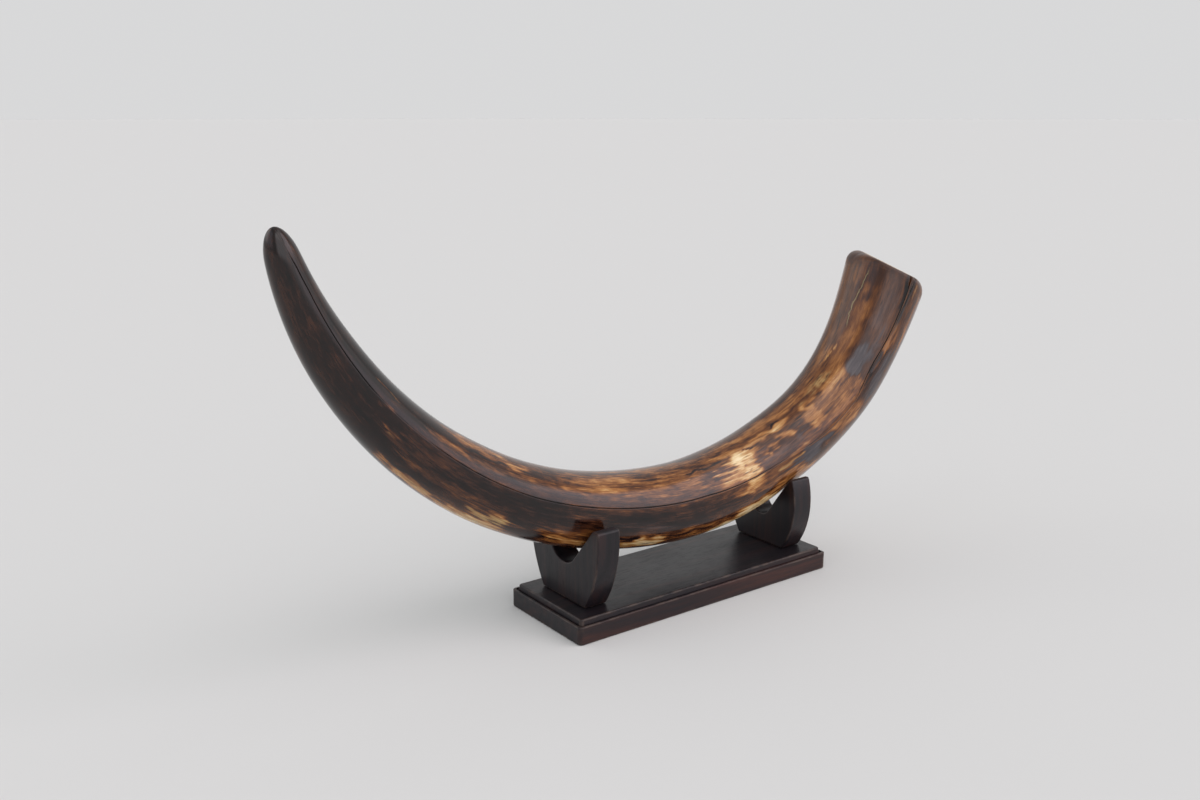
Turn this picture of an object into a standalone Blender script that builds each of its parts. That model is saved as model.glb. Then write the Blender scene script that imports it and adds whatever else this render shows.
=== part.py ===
"""A polished mammoth tusk lying in a small dark hardwood stand.

The tusk is one natural piece, sawn off at its root. The stand is three boards: a stepped base
and two upright cradles, whose stub tenons sit in mortises in the base. The tusk lies loose in
the cradles' notches.

All sizes are in metres. +Z is up, +X runs along the base towards the tusk's root, -Y is the
front, and the origin is the middle of the base's underside.
"""

from math import cos, pi, radians, sin, tan
from typing import NamedTuple

import bmesh
import bpy
import numpy as np
from mathutils import Matrix, Vector

GAP = 0.0003  # clearance between pieces that touch

# The base is one board with a rebate worked round its top edge.
BASE_LENGTH = 0.200
BASE_WIDTH = 0.072
PLINTH_HEIGHT = 0.0117
TIER_HEIGHT = 0.0026
TIER_INSET = 0.0035
BASE_HEIGHT = PLINTH_HEIGHT + TIER_HEIGHT
BASE_ARRIS = 0.0008

CRADLE_THICKNESS = 0.0155
CRADLE_ARRIS = 0.0008
ARM_TIP_OUTER_RADIUS = 0.0025
ARM_TIP_INNER_RADIUS = 0.0012
TENON_LENGTH = 0.006
TENON_HALF_WIDTH = 0.013


class Cradle(NamedTuple):
    """A board that swells from a narrow foot, with a rounded V notch between two arms."""

    name: str
    x: float  # place of its middle along the base
    top: float
    foot_half_width: float
    half_width: float
    widest_height: float
    notch_slope: float
    notch_root_radius: float


CRADLES = (
    Cradle("cradle_tip_end", -0.0785, 0.0640, 0.0215, 0.0348, 0.058, radians(50), 0.016),
    Cradle("cradle_root_end", 0.0820, 0.0630, 0.0205, 0.0306, 0.046, radians(54.5), 0.010),
)

# The tusk's centreline bends in the XZ plane. Each station holds its x, its z and the radius
# there, from the tip to just past the sawn root.
TUSK_STATIONS = (
    (-0.2485, 0.2420, 0.0079),
    (-0.2435, 0.2230, 0.0105),
    (-0.2200, 0.1705, 0.0147),
    (-0.1780, 0.1215, 0.0186),
    (-0.1200, 0.0835, 0.0213),
    (-0.0520, 0.0620, 0.0234),
    (0.0180, 0.0585, 0.0249),
    (0.0860, 0.0765, 0.0247),
    (0.1435, 0.1125, 0.0250),
    (0.1750, 0.1580, 0.0269),
    (0.1910, 0.1960, 0.0290),
)
TIP_LENGTH = 0.017  # length of the rounded tip
TIP_RINGS = 6
STATION_STEP = 0.0095
RING_SEGMENTS = 28

# The root is sawn across at SAW_ALONG on the centreline. The saw leaned towards the front.
SAW_ALONG = 0.5828
SAW_LEAN = radians(15)
RIM_EASE_FRONT = 0.0015
RIM_EASE_SIDES = 0.0055
RIM_STEPS = 3
LAST_RING_BEFORE_SAW = 0.018

# A drying crack runs the whole length of the tusk's front and opens at the root.
CRACK_ALONG = (0.0, 0.15, 0.23, 0.34, 0.40, 0.47, 0.53, 0.60)
CRACK_ANGLES = (13.0, 16.0, 14.0, 19.5, 16.0, 5.5, 12.0, 12.5)  # degrees above the front
CRACK_HALF_WIDTH = 0.0007
CRACK_DEPTH = 0.0008
CRACK_MOUTH_LENGTH = 0.030
CRACK_MOUTH_HALF_WIDTH = 0.0011
CRACK_MOUTH_DEPTH = 0.0035


class Spline:
    """Natural cubic spline through rows of values, measured along their first two columns."""

    def __init__(self, rows):
        self.rows = np.array(rows)
        steps = np.hypot(*np.diff(self.rows[:, :2], axis=0).T)
        self.marks = np.concatenate(([0.0], np.cumsum(steps)))
        system = np.eye(len(rows))
        target = np.zeros_like(self.rows)
        for i in range(1, len(rows) - 1):
            before, after = steps[i - 1], steps[i]
            system[i, i - 1:i + 2] = before, 2 * (before + after), after
            slope_after = (self.rows[i + 1] - self.rows[i]) / after
            slope_before = (self.rows[i] - self.rows[i - 1]) / before
            target[i] = 6 * (slope_after - slope_before)
        self.bends = np.linalg.solve(system, target)

    def _span(self, along):
        """Index of the span that holds a place, its length, and the weights of its two ends."""
        i = int(np.clip(np.searchsorted(self.marks, along) - 1, 0, len(self.marks) - 2))
        length = self.marks[i + 1] - self.marks[i]
        weight = (self.marks[i + 1] - along) / length
        return i, length, weight, 1 - weight

    def at(self, along):
        """Values at a place along the spline."""
        i, length, a, b = self._span(along)
        bend = (a ** 3 - a) * self.bends[i] + (b ** 3 - b) * self.bends[i + 1]
        return a * self.rows[i] + b * self.rows[i + 1] + bend * length ** 2 / 6

    def slope(self, along):
        """Change of the values per metre along the spline."""
        i, length, a, b = self._span(along)
        bend = (1 - 3 * a ** 2) * self.bends[i] + (3 * b ** 2 - 1) * self.bends[i + 1]
        return (self.rows[i + 1] - self.rows[i]) / length + bend * length / 6


TUSK_SPLINE = Spline(TUSK_STATIONS)


def tusk_frame(along):
    """Centre of the tusk, its radius, its direction and its inner side at a place along it."""
    x, z, radius = TUSK_SPLINE.at(along)
    slope = TUSK_SPLINE.slope(along)
    direction = Vector((slope[0], 0, slope[1])).normalized()
    inner = Vector((-direction.z, 0, direction.x))
    if along < TIP_LENGTH:
        radius *= (1 - (1 - along / TIP_LENGTH) ** 2) ** 0.5
    return Vector((x, 0, z)), radius, direction, inner


def outward(angle, inner):
    """Outward direction at an angle round the tusk, from the front up towards its inner side."""
    return Vector((0, -cos(angle), 0)) + inner * sin(angle)


def crack_size(along):
    """Half width and depth of the crack, which fades at the tip and gapes at the root."""
    mouth = np.clip((along - SAW_ALONG + CRACK_MOUTH_LENGTH) / CRACK_MOUTH_LENGTH, 0, 1)
    fade = np.clip(along / TIP_LENGTH - 0.5, 0, 1)
    half_width = CRACK_HALF_WIDTH + (CRACK_MOUTH_HALF_WIDTH - CRACK_HALF_WIDTH) * mouth
    depth = (CRACK_DEPTH + (CRACK_MOUTH_DEPTH - CRACK_DEPTH) * mouth) * fade
    return half_width, depth


def ring_angles(along, radius):
    """Angles round a ring: the crack's bottom first, then its far edge and on to its near one."""
    crack = radians(np.interp(along, CRACK_ALONG, CRACK_ANGLES))
    edge = min(crack_size(along)[0] / radius, pi / RING_SEGMENTS)
    return [crack, *np.linspace(crack + edge, crack + 2 * pi - edge, RING_SEGMENTS)]


def tusk_ring(along):
    """Points of one ring round the tusk."""
    centre, radius, _, inner = tusk_frame(along)
    depth = crack_size(along)[1]
    angles = ring_angles(along, radius)
    points = [centre + outward(angle, inner) * radius for angle in angles]
    points[0] -= outward(angles[0], inner) * depth
    return points


def root_rings():
    """Rings that ease the tusk's surface into the sawn face, the last one on the face."""
    centre, radius, direction, inner = tusk_frame(SAW_ALONG)
    taper = TUSK_SPLINE.slope(SAW_ALONG)[2]
    normal = direction * cos(SAW_LEAN) + Vector((0, -sin(SAW_LEAN), 0))
    depth = crack_size(SAW_ALONG)[1]
    rings = [[] for _ in range(RIM_STEPS + 1)]
    for index, angle in enumerate(ring_angles(SAW_ALONG, radius)):
        out = outward(angle, inner)
        start = centre + out * (radius - (depth if index == 0 else 0))
        run = direction + out * taper
        rim = start + run * ((centre - start).dot(normal) / run.dot(normal))
        ease = RIM_EASE_FRONT + (RIM_EASE_SIDES - RIM_EASE_FRONT) * sin(angle) ** 2
        inward = (centre - rim).normalized()
        for step, ring in enumerate(rings):
            turn = step / RIM_STEPS * pi / 2
            ring.append(rim - run * ease * (1 - sin(turn)) + inward * ease * (1 - cos(turn)))
    return rings


def make_material(name, colour, roughness):
    """A plain material of one colour and roughness."""
    material = bpy.data.materials.new(name)
    material.use_nodes = True
    shader = material.node_tree.nodes["Principled BSDF"]
    shader.inputs["Base Color"].default_value = (*colour, 1)
    shader.inputs["Roughness"].default_value = roughness
    shader.inputs["Metallic"].default_value = 0
    return material


def add_object(name, bm, material):
    """Turn a bmesh into a named object with outward faces and one material."""
    bmesh.ops.recalc_face_normals(bm, faces=bm.faces)
    mesh = bpy.data.meshes.new(name)
    bm.to_mesh(mesh)
    bm.free()
    mesh.materials.append(material)
    obj = bpy.data.objects.new(name, mesh)
    bpy.context.scene.collection.objects.link(obj)
    return obj


def add_bevel(obj, width):
    """Ease the sharp arrises of a board."""
    bevel = obj.modifiers.new("arrises", "BEVEL")
    bevel.width = width
    bevel.segments = 2
    bevel.limit_method = "ANGLE"
    bevel.angle_limit = radians(40)


def bridge(bm, lower, upper):
    """Join two rings of vertices with quads."""
    count = len(lower)
    for i in range(count):
        j = (i + 1) % count
        bm.faces.new((lower[i], lower[j], upper[j], upper[i]))


def make_tusk(material):
    """The tusk: rings lofted from its rounded tip to its sawn root."""
    places = [TIP_LENGTH * (1 - cos(pi / 2 * i / TIP_RINGS)) for i in range(1, TIP_RINGS)]
    last = SAW_ALONG - LAST_RING_BEFORE_SAW
    steps = round((last - TIP_LENGTH) / STATION_STEP)
    places += list(np.linspace(TIP_LENGTH, last, steps + 1))
    bm = bmesh.new()
    rings = [tusk_ring(along) for along in places] + root_rings()
    rings = [[bm.verts.new(point) for point in ring] for ring in rings]
    for lower, upper in zip(rings, rings[1:]):
        bridge(bm, lower, upper)
    tip = bm.verts.new(tusk_frame(0.0)[0])
    for i, vert in enumerate(rings[0]):
        bm.faces.new((tip, rings[0][(i + 1) % len(rings[0])], vert))
    bm.faces.new(rings[-1])
    obj = add_object("tusk", bm, material)
    obj.data.shade_smooth()
    obj.data.set_sharp_from_angle(angle=radians(40))
    return obj


def notch_root(cradle):
    """Height where a notch's slopes would meet, so that both just clear the tusk's underside."""
    heights = []
    for along in np.arange(TIP_LENGTH, SAW_ALONG, 0.001):
        centre, radius, _, inner = tusk_frame(along)
        for degrees in range(-180, 1, 3):
            point = centre + outward(radians(degrees), inner) * radius
            if abs(point.x - cradle.x) <= CRADLE_THICKNESS / 2:
                heights.append(point.z - abs(point.y) * tan(cradle.notch_slope))
    return min(heights) - GAP / cos(cradle.notch_slope)


def fillet(before, corner, after, radius, steps):
    """Points of the arc that rounds a corner between two straight edges."""
    back = (before - corner).normalized()
    ahead = (after - corner).normalized()
    half = back.angle(ahead) / 2
    centre = corner + (back + ahead).normalized() * radius / sin(half)
    start = corner + back * radius / tan(half) - centre
    end = corner + ahead * radius / tan(half) - centre
    turn = -start.angle_signed(end)
    return [centre + Matrix.Rotation(turn * i / steps, 2) @ start for i in range(steps + 1)]


def cradle_outline(cradle):
    """Outline of a cradle in Y and Z, anticlockwise from the middle of its tenon's end."""
    foot = BASE_HEIGHT + GAP
    drop = cradle.widest_height - foot
    narrowing = cradle.half_width - cradle.foot_half_width
    flank_radius = (drop ** 2 + narrowing ** 2) / (2 * narrowing)
    flank_centre = cradle.half_width - flank_radius
    flank = []
    for height in np.linspace(foot, cradle.top, 11):
        rise = height - cradle.widest_height
        flank.append(Vector((flank_centre + (flank_radius ** 2 - rise ** 2) ** 0.5, height)))
    outer = flank.pop()
    root = notch_root(cradle)
    inner = Vector(((cradle.top - root) / tan(cradle.notch_slope), cradle.top))
    bottom = Vector((0, root))
    half = [
        Vector((TENON_HALF_WIDTH, BASE_HEIGHT - TENON_LENGTH)),
        Vector((TENON_HALF_WIDTH, foot)),
        *flank,
        *fillet(flank[-1], outer, inner, ARM_TIP_OUTER_RADIUS, 4),
        *fillet(outer, inner, bottom, ARM_TIP_INNER_RADIUS, 3),
    ]
    notch = fillet(inner, bottom, Vector((-inner.x, inner.y)), cradle.notch_root_radius, 12)
    return half + notch + [Vector((-point.x, point.y)) for point in reversed(half)]


def make_cradle(cradle, material):
    """One cradle: its outline extruded through the board's thickness."""
    bm = bmesh.new()
    back = -CRADLE_THICKNESS / 2
    face = bm.faces.new([bm.verts.new((back, *point)) for point in cradle_outline(cradle)])
    extruded = bmesh.ops.extrude_face_region(bm, geom=[face])
    moved = [item for item in extruded["geom"] if isinstance(item, bmesh.types.BMVert)]
    bmesh.ops.translate(bm, verts=moved, vec=(CRADLE_THICKNESS, 0, 0))
    obj = add_object(cradle.name, bm, material)
    obj.location.x = cradle.x
    add_bevel(obj, CRADLE_ARRIS)
    return obj


def make_mortise_cutter(x):
    """The block that cuts a cradle's mortise in the base."""
    bm = bmesh.new()
    size = (CRADLE_THICKNESS + 2 * GAP, 2 * (TENON_HALF_WIDTH + GAP), 2 * (TENON_LENGTH + GAP))
    bmesh.ops.create_cube(bm, size=1, matrix=Matrix.Diagonal((*size, 1)))
    mesh = bpy.data.meshes.new("mortise")
    bm.to_mesh(mesh)
    bm.free()
    cutter = bpy.data.objects.new("mortise", mesh)
    cutter.location = (x, 0, BASE_HEIGHT)
    cutter.hide_render = True
    cutter.display_type = "WIRE"
    bpy.context.scene.collection.objects.link(cutter)
    return cutter


def make_base(material):
    """The stepped base board with a mortise for each cradle."""
    levels = (
        (0, 0),
        (0, PLINTH_HEIGHT),
        (TIER_INSET, PLINTH_HEIGHT),
        (TIER_INSET, BASE_HEIGHT),
    )
    bm = bmesh.new()
    rings = []
    for inset, height in levels:
        x, y = BASE_LENGTH / 2 - inset, BASE_WIDTH / 2 - inset
        corners = ((-x, -y), (x, -y), (x, y), (-x, y))
        rings.append([bm.verts.new((*corner, height)) for corner in corners])
    for lower, upper in zip(rings, rings[1:]):
        bridge(bm, lower, upper)
    bm.faces.new(rings[0])
    bm.faces.new(rings[-1])
    obj = add_object("base", bm, material)
    add_bevel(obj, BASE_ARRIS)
    for cradle in CRADLES:
        cut = obj.modifiers.new("mortise", "BOOLEAN")
        cut.operation = "DIFFERENCE"
        cut.object = make_mortise_cutter(cradle.x)
    return obj


def main():
    """Build the tusk and its stand."""
    for obj in list(bpy.data.objects):
        bpy.data.objects.remove(obj)
    ivory = make_material("mammoth_ivory", (0.17, 0.08, 0.04), 0.25)
    wood = make_material("dark_hardwood", (0.03, 0.022, 0.022), 0.4)
    make_base(wood)
    for cradle in CRADLES:
        make_cradle(cradle, wood)
    make_tusk(ivory)


main()
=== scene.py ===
"""A polished mammoth tusk lying in a small dark hardwood stand.

Sizes are in metres. +Z is up, +X runs along the base towards the tusk's sawn root and -Y is the
front. The tusk's own coordinates are the distance along its centreline from the tip, and the
angle round it from the front up towards the inner side of its bend.
"""

import logging
from dataclasses import dataclass
from enum import Enum
from functools import cached_property
from math import cos, pi, radians, sin, tan

import bmesh
import bpy
import numpy as np
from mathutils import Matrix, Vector


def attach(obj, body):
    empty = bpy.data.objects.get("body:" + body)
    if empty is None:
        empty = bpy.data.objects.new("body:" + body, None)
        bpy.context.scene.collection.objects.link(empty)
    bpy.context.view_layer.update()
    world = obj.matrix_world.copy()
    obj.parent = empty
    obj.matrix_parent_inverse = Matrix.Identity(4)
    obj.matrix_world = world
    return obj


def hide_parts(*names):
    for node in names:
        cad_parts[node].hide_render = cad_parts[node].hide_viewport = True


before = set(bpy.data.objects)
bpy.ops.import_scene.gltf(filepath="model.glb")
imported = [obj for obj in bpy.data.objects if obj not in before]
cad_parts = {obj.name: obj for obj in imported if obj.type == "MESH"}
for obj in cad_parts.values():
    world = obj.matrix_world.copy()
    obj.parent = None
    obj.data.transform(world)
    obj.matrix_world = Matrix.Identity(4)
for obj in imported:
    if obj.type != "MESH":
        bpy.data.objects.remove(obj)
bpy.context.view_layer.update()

LOG = logging.getLogger("tusk")
GAP = 0.0003  # clearance between pieces that rest on one another

# What the meshes store at each point for their finishes.
GRAIN = "grain"  # the piece's own coordinates, with the grain along the first
TONE = "tone"  # how pale the ivory is, from 0 to 1, with a few patches of painted sheen
SLATE = "slate"  # how slate grey it is, with a few patches of painted sheen
OLIVE = "olive"  # how olive it is
CRACK = "crack"  # arc from the drying crack's middle
OPENING = "opening"  # how far the crack is open, which deepens its groove and its painted shade: 0 is shut, 1 is open and 2 gapes
SPLIT = "split"  # arc from the middle of the split that runs beside the crack at the root
VEIN = "vein"  # arc from the pale vein's middle
EDGE = "edge"  # how close the point is to an edge, from 0 to 1, where wearing and, on the wood, a painted highlight are drawn
SAWN = "sawn"  # 1 on the sawn face
PAINTED_LIGHT = "bare"  # how much painted light lifts the wood's tone, on the long sides and the moulded bands, from 0 to 1

Colour = tuple[float, float, float]
Span = tuple[float, float]
Easing = tuple[float, float, float, float]  # a span, and the results at its start and its end
Socket = bpy.types.NodeSocket


# ---------------------------------------------------------------------------------------------
# Helpers for meshes and node trees


def add_piece(name: str, mesh: bpy.types.Mesh) -> bpy.types.Object:
    """Link a mesh to the scene as an object.

    Args:
        name: The object's name.
        mesh: Its mesh, already in place.

    Returns:
        The new object.
    """
    mesh.name = name
    piece = bpy.data.objects.new(name, mesh)
    bpy.context.scene.collection.objects.link(piece)
    return piece


def write_field(mesh: bpy.types.Mesh, name: str, values: np.ndarray) -> None:
    """Store a value or a vector for each point of a mesh.

    Args:
        mesh: The mesh.
        name: The attribute's name, which materials read.
        values: One number or one vector per point.
    """
    kind, key = ("FLOAT_VECTOR", "vector") if values.ndim == 2 else ("FLOAT", "value")
    attribute = mesh.attributes.new(name, kind, "POINT")
    attribute.data.foreach_set(key, np.ascontiguousarray(values, dtype=np.float32).ravel())


def smooth_step(low: float, high: float, value: np.ndarray) -> np.ndarray:
    """Ease from 0 at low to 1 at high, along an array."""
    share = np.clip((value - low) / (high - low), 0, 1)
    return share * share * (3 - 2 * share)


def wrap_turn(angle: np.ndarray, whole: float = 2 * pi) -> np.ndarray:
    """Bring angles to within half a turn of zero."""
    return (angle + whole / 2) % whole - whole / 2


@dataclass(frozen=True)
class Streaks:
    """A layer of streaks along the grain.

    The first two say how often the streaks change, along the grain and across it, per metre.
    """

    along: float
    across: float
    warp: float
    rough: float


@dataclass(frozen=True)
class Cloud:
    """Noise in the piece's own coordinates, with how often it changes along each, per metre."""

    scale: tuple[float, float, float]
    detail: float
    rough: float = 0.55
    warp: float = 0.0


class Graph:
    """A node tree under construction, with short calls for the nodes that the finishes use."""

    def __init__(self, tree: bpy.types.NodeTree) -> None:
        """Start on a node tree."""
        self.tree = tree

    def feed(self, node: bpy.types.Node, inputs: dict) -> None:
        """Set or link a node's inputs.

        Args:
            node: The node.
            inputs: Sockets, by name or number, with a value or another node's output for each.
        """
        for key, value in inputs.items():
            if isinstance(value, Socket):
                self.tree.links.new(value, node.inputs[key])
            else:
                node.inputs[key].default_value = value

    def add(self, kind: str, inputs: dict | None = None, **settings: object) -> bpy.types.Node:
        """Add a node.

        Args:
            kind: The node's type.
            inputs: Sockets, by name or number, with a value or another node's output for each.
            settings: The node's own properties.

        Returns:
            The new node.
        """
        node = self.tree.nodes.new(kind)
        for name, value in settings.items():
            setattr(node, name, value)
        self.feed(node, inputs or {})
        return node

    def group(self, tree: bpy.types.NodeTree, inputs: dict) -> Socket:
        """Place a node group and return its first output."""
        return self.add("ShaderNodeGroup", inputs, node_tree=tree).outputs[0]

    def math(self, operation: str, *values: object, clamp: bool = False) -> Socket:
        """Combine numbers with one operation."""
        inputs = dict(enumerate(values))
        return self.add("ShaderNodeMath", inputs, operation=operation, use_clamp=clamp).outputs[0]

    def product(self, first: object, second: object) -> Socket:
        """Multiply two numbers."""
        return self.math("MULTIPLY", first, second)

    def most(self, first: object, second: object) -> Socket:
        """Pick the greater of two numbers."""
        return self.math("MAXIMUM", first, second)

    def size(self, value: object) -> Socket:
        """Drop a number's sign."""
        return self.math("ABSOLUTE", value)

    def sway(self, value: object, noise: Socket, amount: float) -> Socket:
        """Move a number up or down by noise, which is centred on zero first."""
        return self.math("MULTIPLY_ADD", self.math("SUBTRACT", noise, 0.5), amount, value)

    def vector(self, operation: str, *values: object) -> Socket:
        """Combine vectors with one operation."""
        inputs = dict(enumerate(values))
        return self.add("ShaderNodeVectorMath", inputs, operation=operation).outputs[0]

    def scaled(self, vector: Socket, scale: Socket) -> Socket:
        """Scale a vector evenly."""
        inputs = {0: vector, "Scale": scale}
        return self.add("ShaderNodeVectorMath", inputs, operation="SCALE").outputs[0]

    def span(self, value: object, low: float, high: float, start: float = 0.0,
             end: float = 1.0) -> Socket:
        """Map a number smoothly from one span to another.

        Args:
            value: The number to map.
            low: Where the span starts.
            high: Where the span ends.
            start: Result at low.
            end: Result at high.

        Returns:
            The mapped number.
        """
        inputs = {0: value, 1: low, 2: high, 3: start, 4: end}
        node = self.add("ShaderNodeMapRange", inputs, interpolation_type="SMOOTHSTEP")
        return node.outputs[0]

    def fade(self, value: object, low: float, high: float, start: float = 1.0) -> Socket:
        """Map a number smoothly down to zero, from start at low."""
        return self.span(value, low, high, start, 0.0)

    def mix(self, factor: object, first: object, second: object) -> Socket:
        """Mix two colours.

        Args:
            factor: How much of the second shows.
            first: A colour, or another node's output.
            second: A colour, or another node's output.

        Returns:
            The mixed colour.
        """
        first, second = (
            (*value, 1.0) if isinstance(value, tuple) else value for value in (first, second)
        )
        inputs = {0: factor, 6: first, 7: second}
        return self.add("ShaderNodeMix", inputs, data_type="RGBA").outputs[2]

    def ramp(self, factor: object, stops: tuple[tuple[float, Colour], ...]) -> Socket:
        """Look a colour up along a row of stops.

        Args:
            factor: Where to look, from 0 to 1.
            stops: The places and colours of the stops, lowest first.

        Returns:
            The colour.
        """
        node = self.add("ShaderNodeValToRGB", {0: factor})
        elements = node.color_ramp.elements
        while len(elements) < len(stops):
            elements.new(1.0)
        for element, (place, colour) in zip(elements, stops):
            element.position = place
            element.color = (*colour, 1.0)
        return node.outputs[0]

    def noise(self, vector: Socket, detail: float, rough: object = 0.55,
              warp: object = 0.0) -> Socket:
        """Sample fractal noise between 0 and 1.

        Args:
            vector: Where to sample it, already scaled.
            detail: How many finer layers it has.
            rough: How strong the finer layers are.
            warp: How far it is distorted.

        Returns:
            The noise.
        """
        inputs = {"Vector": vector, "Scale": 1.0, "Detail": detail, "Roughness": rough,
                  "Distortion": warp}
        return self.add("ShaderNodeTexNoise", inputs).outputs[0]

    def cloud(self, cloud: Cloud) -> Socket:
        """Sample a cloud of noise."""
        place = self.vector("MULTIPLY", self.place, cloud.scale)
        return self.noise(place, cloud.detail, cloud.rough, cloud.warp)

    def bump(self, height: Socket, strength: float) -> Socket:
        """Raise a shallow relief from a height."""
        inputs = {"Strength": strength, "Distance": 0.0002, "Height": height}
        return self.add("ShaderNodeBump", inputs).outputs[0]

    def field(self, name: str) -> Socket:
        """Read a number that a mesh stores for each point."""
        return self.add("ShaderNodeAttribute", attribute_name=name).outputs["Fac"]

    @cached_property
    def place(self) -> Socket:
        """The piece's own coordinates."""
        return self.add("ShaderNodeAttribute", attribute_name=GRAIN).outputs["Vector"]

    @cached_property
    def along(self) -> Socket:
        """How far along the grain a point of the piece is."""
        return self.add("ShaderNodeSeparateXYZ", {0: self.place}).outputs[0]


def new_group(name: str, inputs: tuple[str, ...], output: str) -> tuple[Graph, dict[str, Socket]]:
    """Start a node group that reads coordinates and some numbers.

    Args:
        name: The group's name.
        inputs: The names of its number inputs.
        output: The name of its one number output.

    Returns:
        The group's tree under construction, and what it is given, by name.
    """
    tree = bpy.data.node_groups.new(name, "ShaderNodeTree")
    tree.interface.new_socket("Coordinates", in_out="INPUT", socket_type="NodeSocketVector")
    for title in inputs:
        tree.interface.new_socket(title, in_out="INPUT", socket_type="NodeSocketFloat")
    tree.interface.new_socket(output, in_out="OUTPUT", socket_type="NodeSocketFloat")
    graph = Graph(tree)
    given = graph.add("NodeGroupInput").outputs
    return graph, {title: given[title] for title in ("Coordinates", *inputs)}


def new_material(name: str) -> tuple[bpy.types.Material, Graph, bpy.types.Node]:
    """Start a material.

    Args:
        name: The material's name.

    Returns:
        The material, its tree under construction and its shader.
    """
    material = bpy.data.materials.new(name)
    material.use_nodes = True
    return material, Graph(material.node_tree), material.node_tree.nodes["Principled BSDF"]


class SharedEffects:
    """The node groups that both the ivory and the wood use, each built once."""

    def __init__(self) -> None:
        """Build the groups."""
        self.streak_group = self._build_streaks()
        self.wear_and_highlight_group = self._build_wear_and_highlight()
        self.smudge_group = self._build_smudges()

    def streaks(self, graph: Graph, layer: Streaks) -> Socket:
        """Draw a layer of streaks in a material.

        Args:
            graph: The material's tree.
            layer: The layer.

        Returns:
            The streaks, between 0 and 1.
        """
        return graph.group(self.streak_group, {
            "Coordinates": graph.place, "Along": layer.along, "Across": layer.across,
            "Warp": layer.warp, "Roughness": layer.rough,
        })

    def wear_and_highlight(self, graph: Graph, scale: float, amount: float) -> Socket:
        """Mark the edges where wearing shows in a material; on the wood they also carry a painted
        highlight.

        Args:
            graph: The material's tree.
            scale: How often the wear breaks off, per metre.
            amount: How strong it is.

        Returns:
            Where the wearing and the painted highlight show, from 0 to 1.
        """
        return graph.group(self.wear_and_highlight_group, {
            "Coordinates": graph.place, "Edge": graph.field(EDGE), "Scale": scale,
            "Amount": amount,
        })

    def smudges(self, graph: Graph, scale: float, roughness: Span) -> Socket:
        """Vary a material's roughness.

        Args:
            graph: The material's tree.
            scale: How often it changes, per metre.
            roughness: Its lowest and highest value.

        Returns:
            The roughness.
        """
        return graph.group(self.smudge_group, {
            "Coordinates": graph.place, "Scale": scale, "Low": roughness[0],
            "High": roughness[1],
        })

    @staticmethod
    def _build_streaks() -> bpy.types.NodeTree:
        """Build noise drawn out along the grain.

        Returns:
            The group.
        """
        inputs = ("Along", "Across", "Warp", "Roughness")
        graph, given = new_group("Grain streaks", inputs, "Streaks")
        scale = graph.add("ShaderNodeCombineXYZ", {
            0: given["Along"], 1: given["Across"], 2: given["Across"],
        })
        place = graph.vector("MULTIPLY", given["Coordinates"], scale.outputs[0])
        value = graph.noise(place, 6.0, given["Roughness"], given["Warp"])
        graph.add("NodeGroupOutput", {"Streaks": value})
        return graph.tree

    @staticmethod
    def _build_wear_and_highlight() -> bpy.types.NodeTree:
        """Build wearing that follows the edges in broken runs, which the wood also uses for a
        painted highlight.

        Returns:
            The group.
        """
        graph, given = new_group("Edge wear", ("Edge", "Scale", "Amount"), "Wear")
        place = graph.scaled(given["Coordinates"], given["Scale"])
        broken = graph.span(graph.noise(place, 3.0), 0.35, 0.7)
        run = graph.product(given["Edge"], broken)
        value = graph.math("MULTIPLY", run, given["Amount"], clamp=True)
        graph.add("NodeGroupOutput", {"Wear": value})
        return graph.tree

    @staticmethod
    def _build_smudges() -> bpy.types.NodeTree:
        """Build faint uneven gloss, as handling leaves it.

        Returns:
            The group.
        """
        graph, given = new_group("Gloss smudges", ("Scale", "Low", "High"), "Roughness")
        place = graph.scaled(given["Coordinates"], given["Scale"])
        cloud = graph.noise(place, 5.0, 0.6, 0.4)
        inputs = {0: cloud, 1: 0.3, 2: 0.7, 3: given["Low"], 4: given["High"]}
        node = graph.add("ShaderNodeMapRange", inputs)
        graph.add("NodeGroupOutput", {"Roughness": node.outputs[0]})
        return graph.tree


# ---------------------------------------------------------------------------------------------
# Finishes


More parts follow.
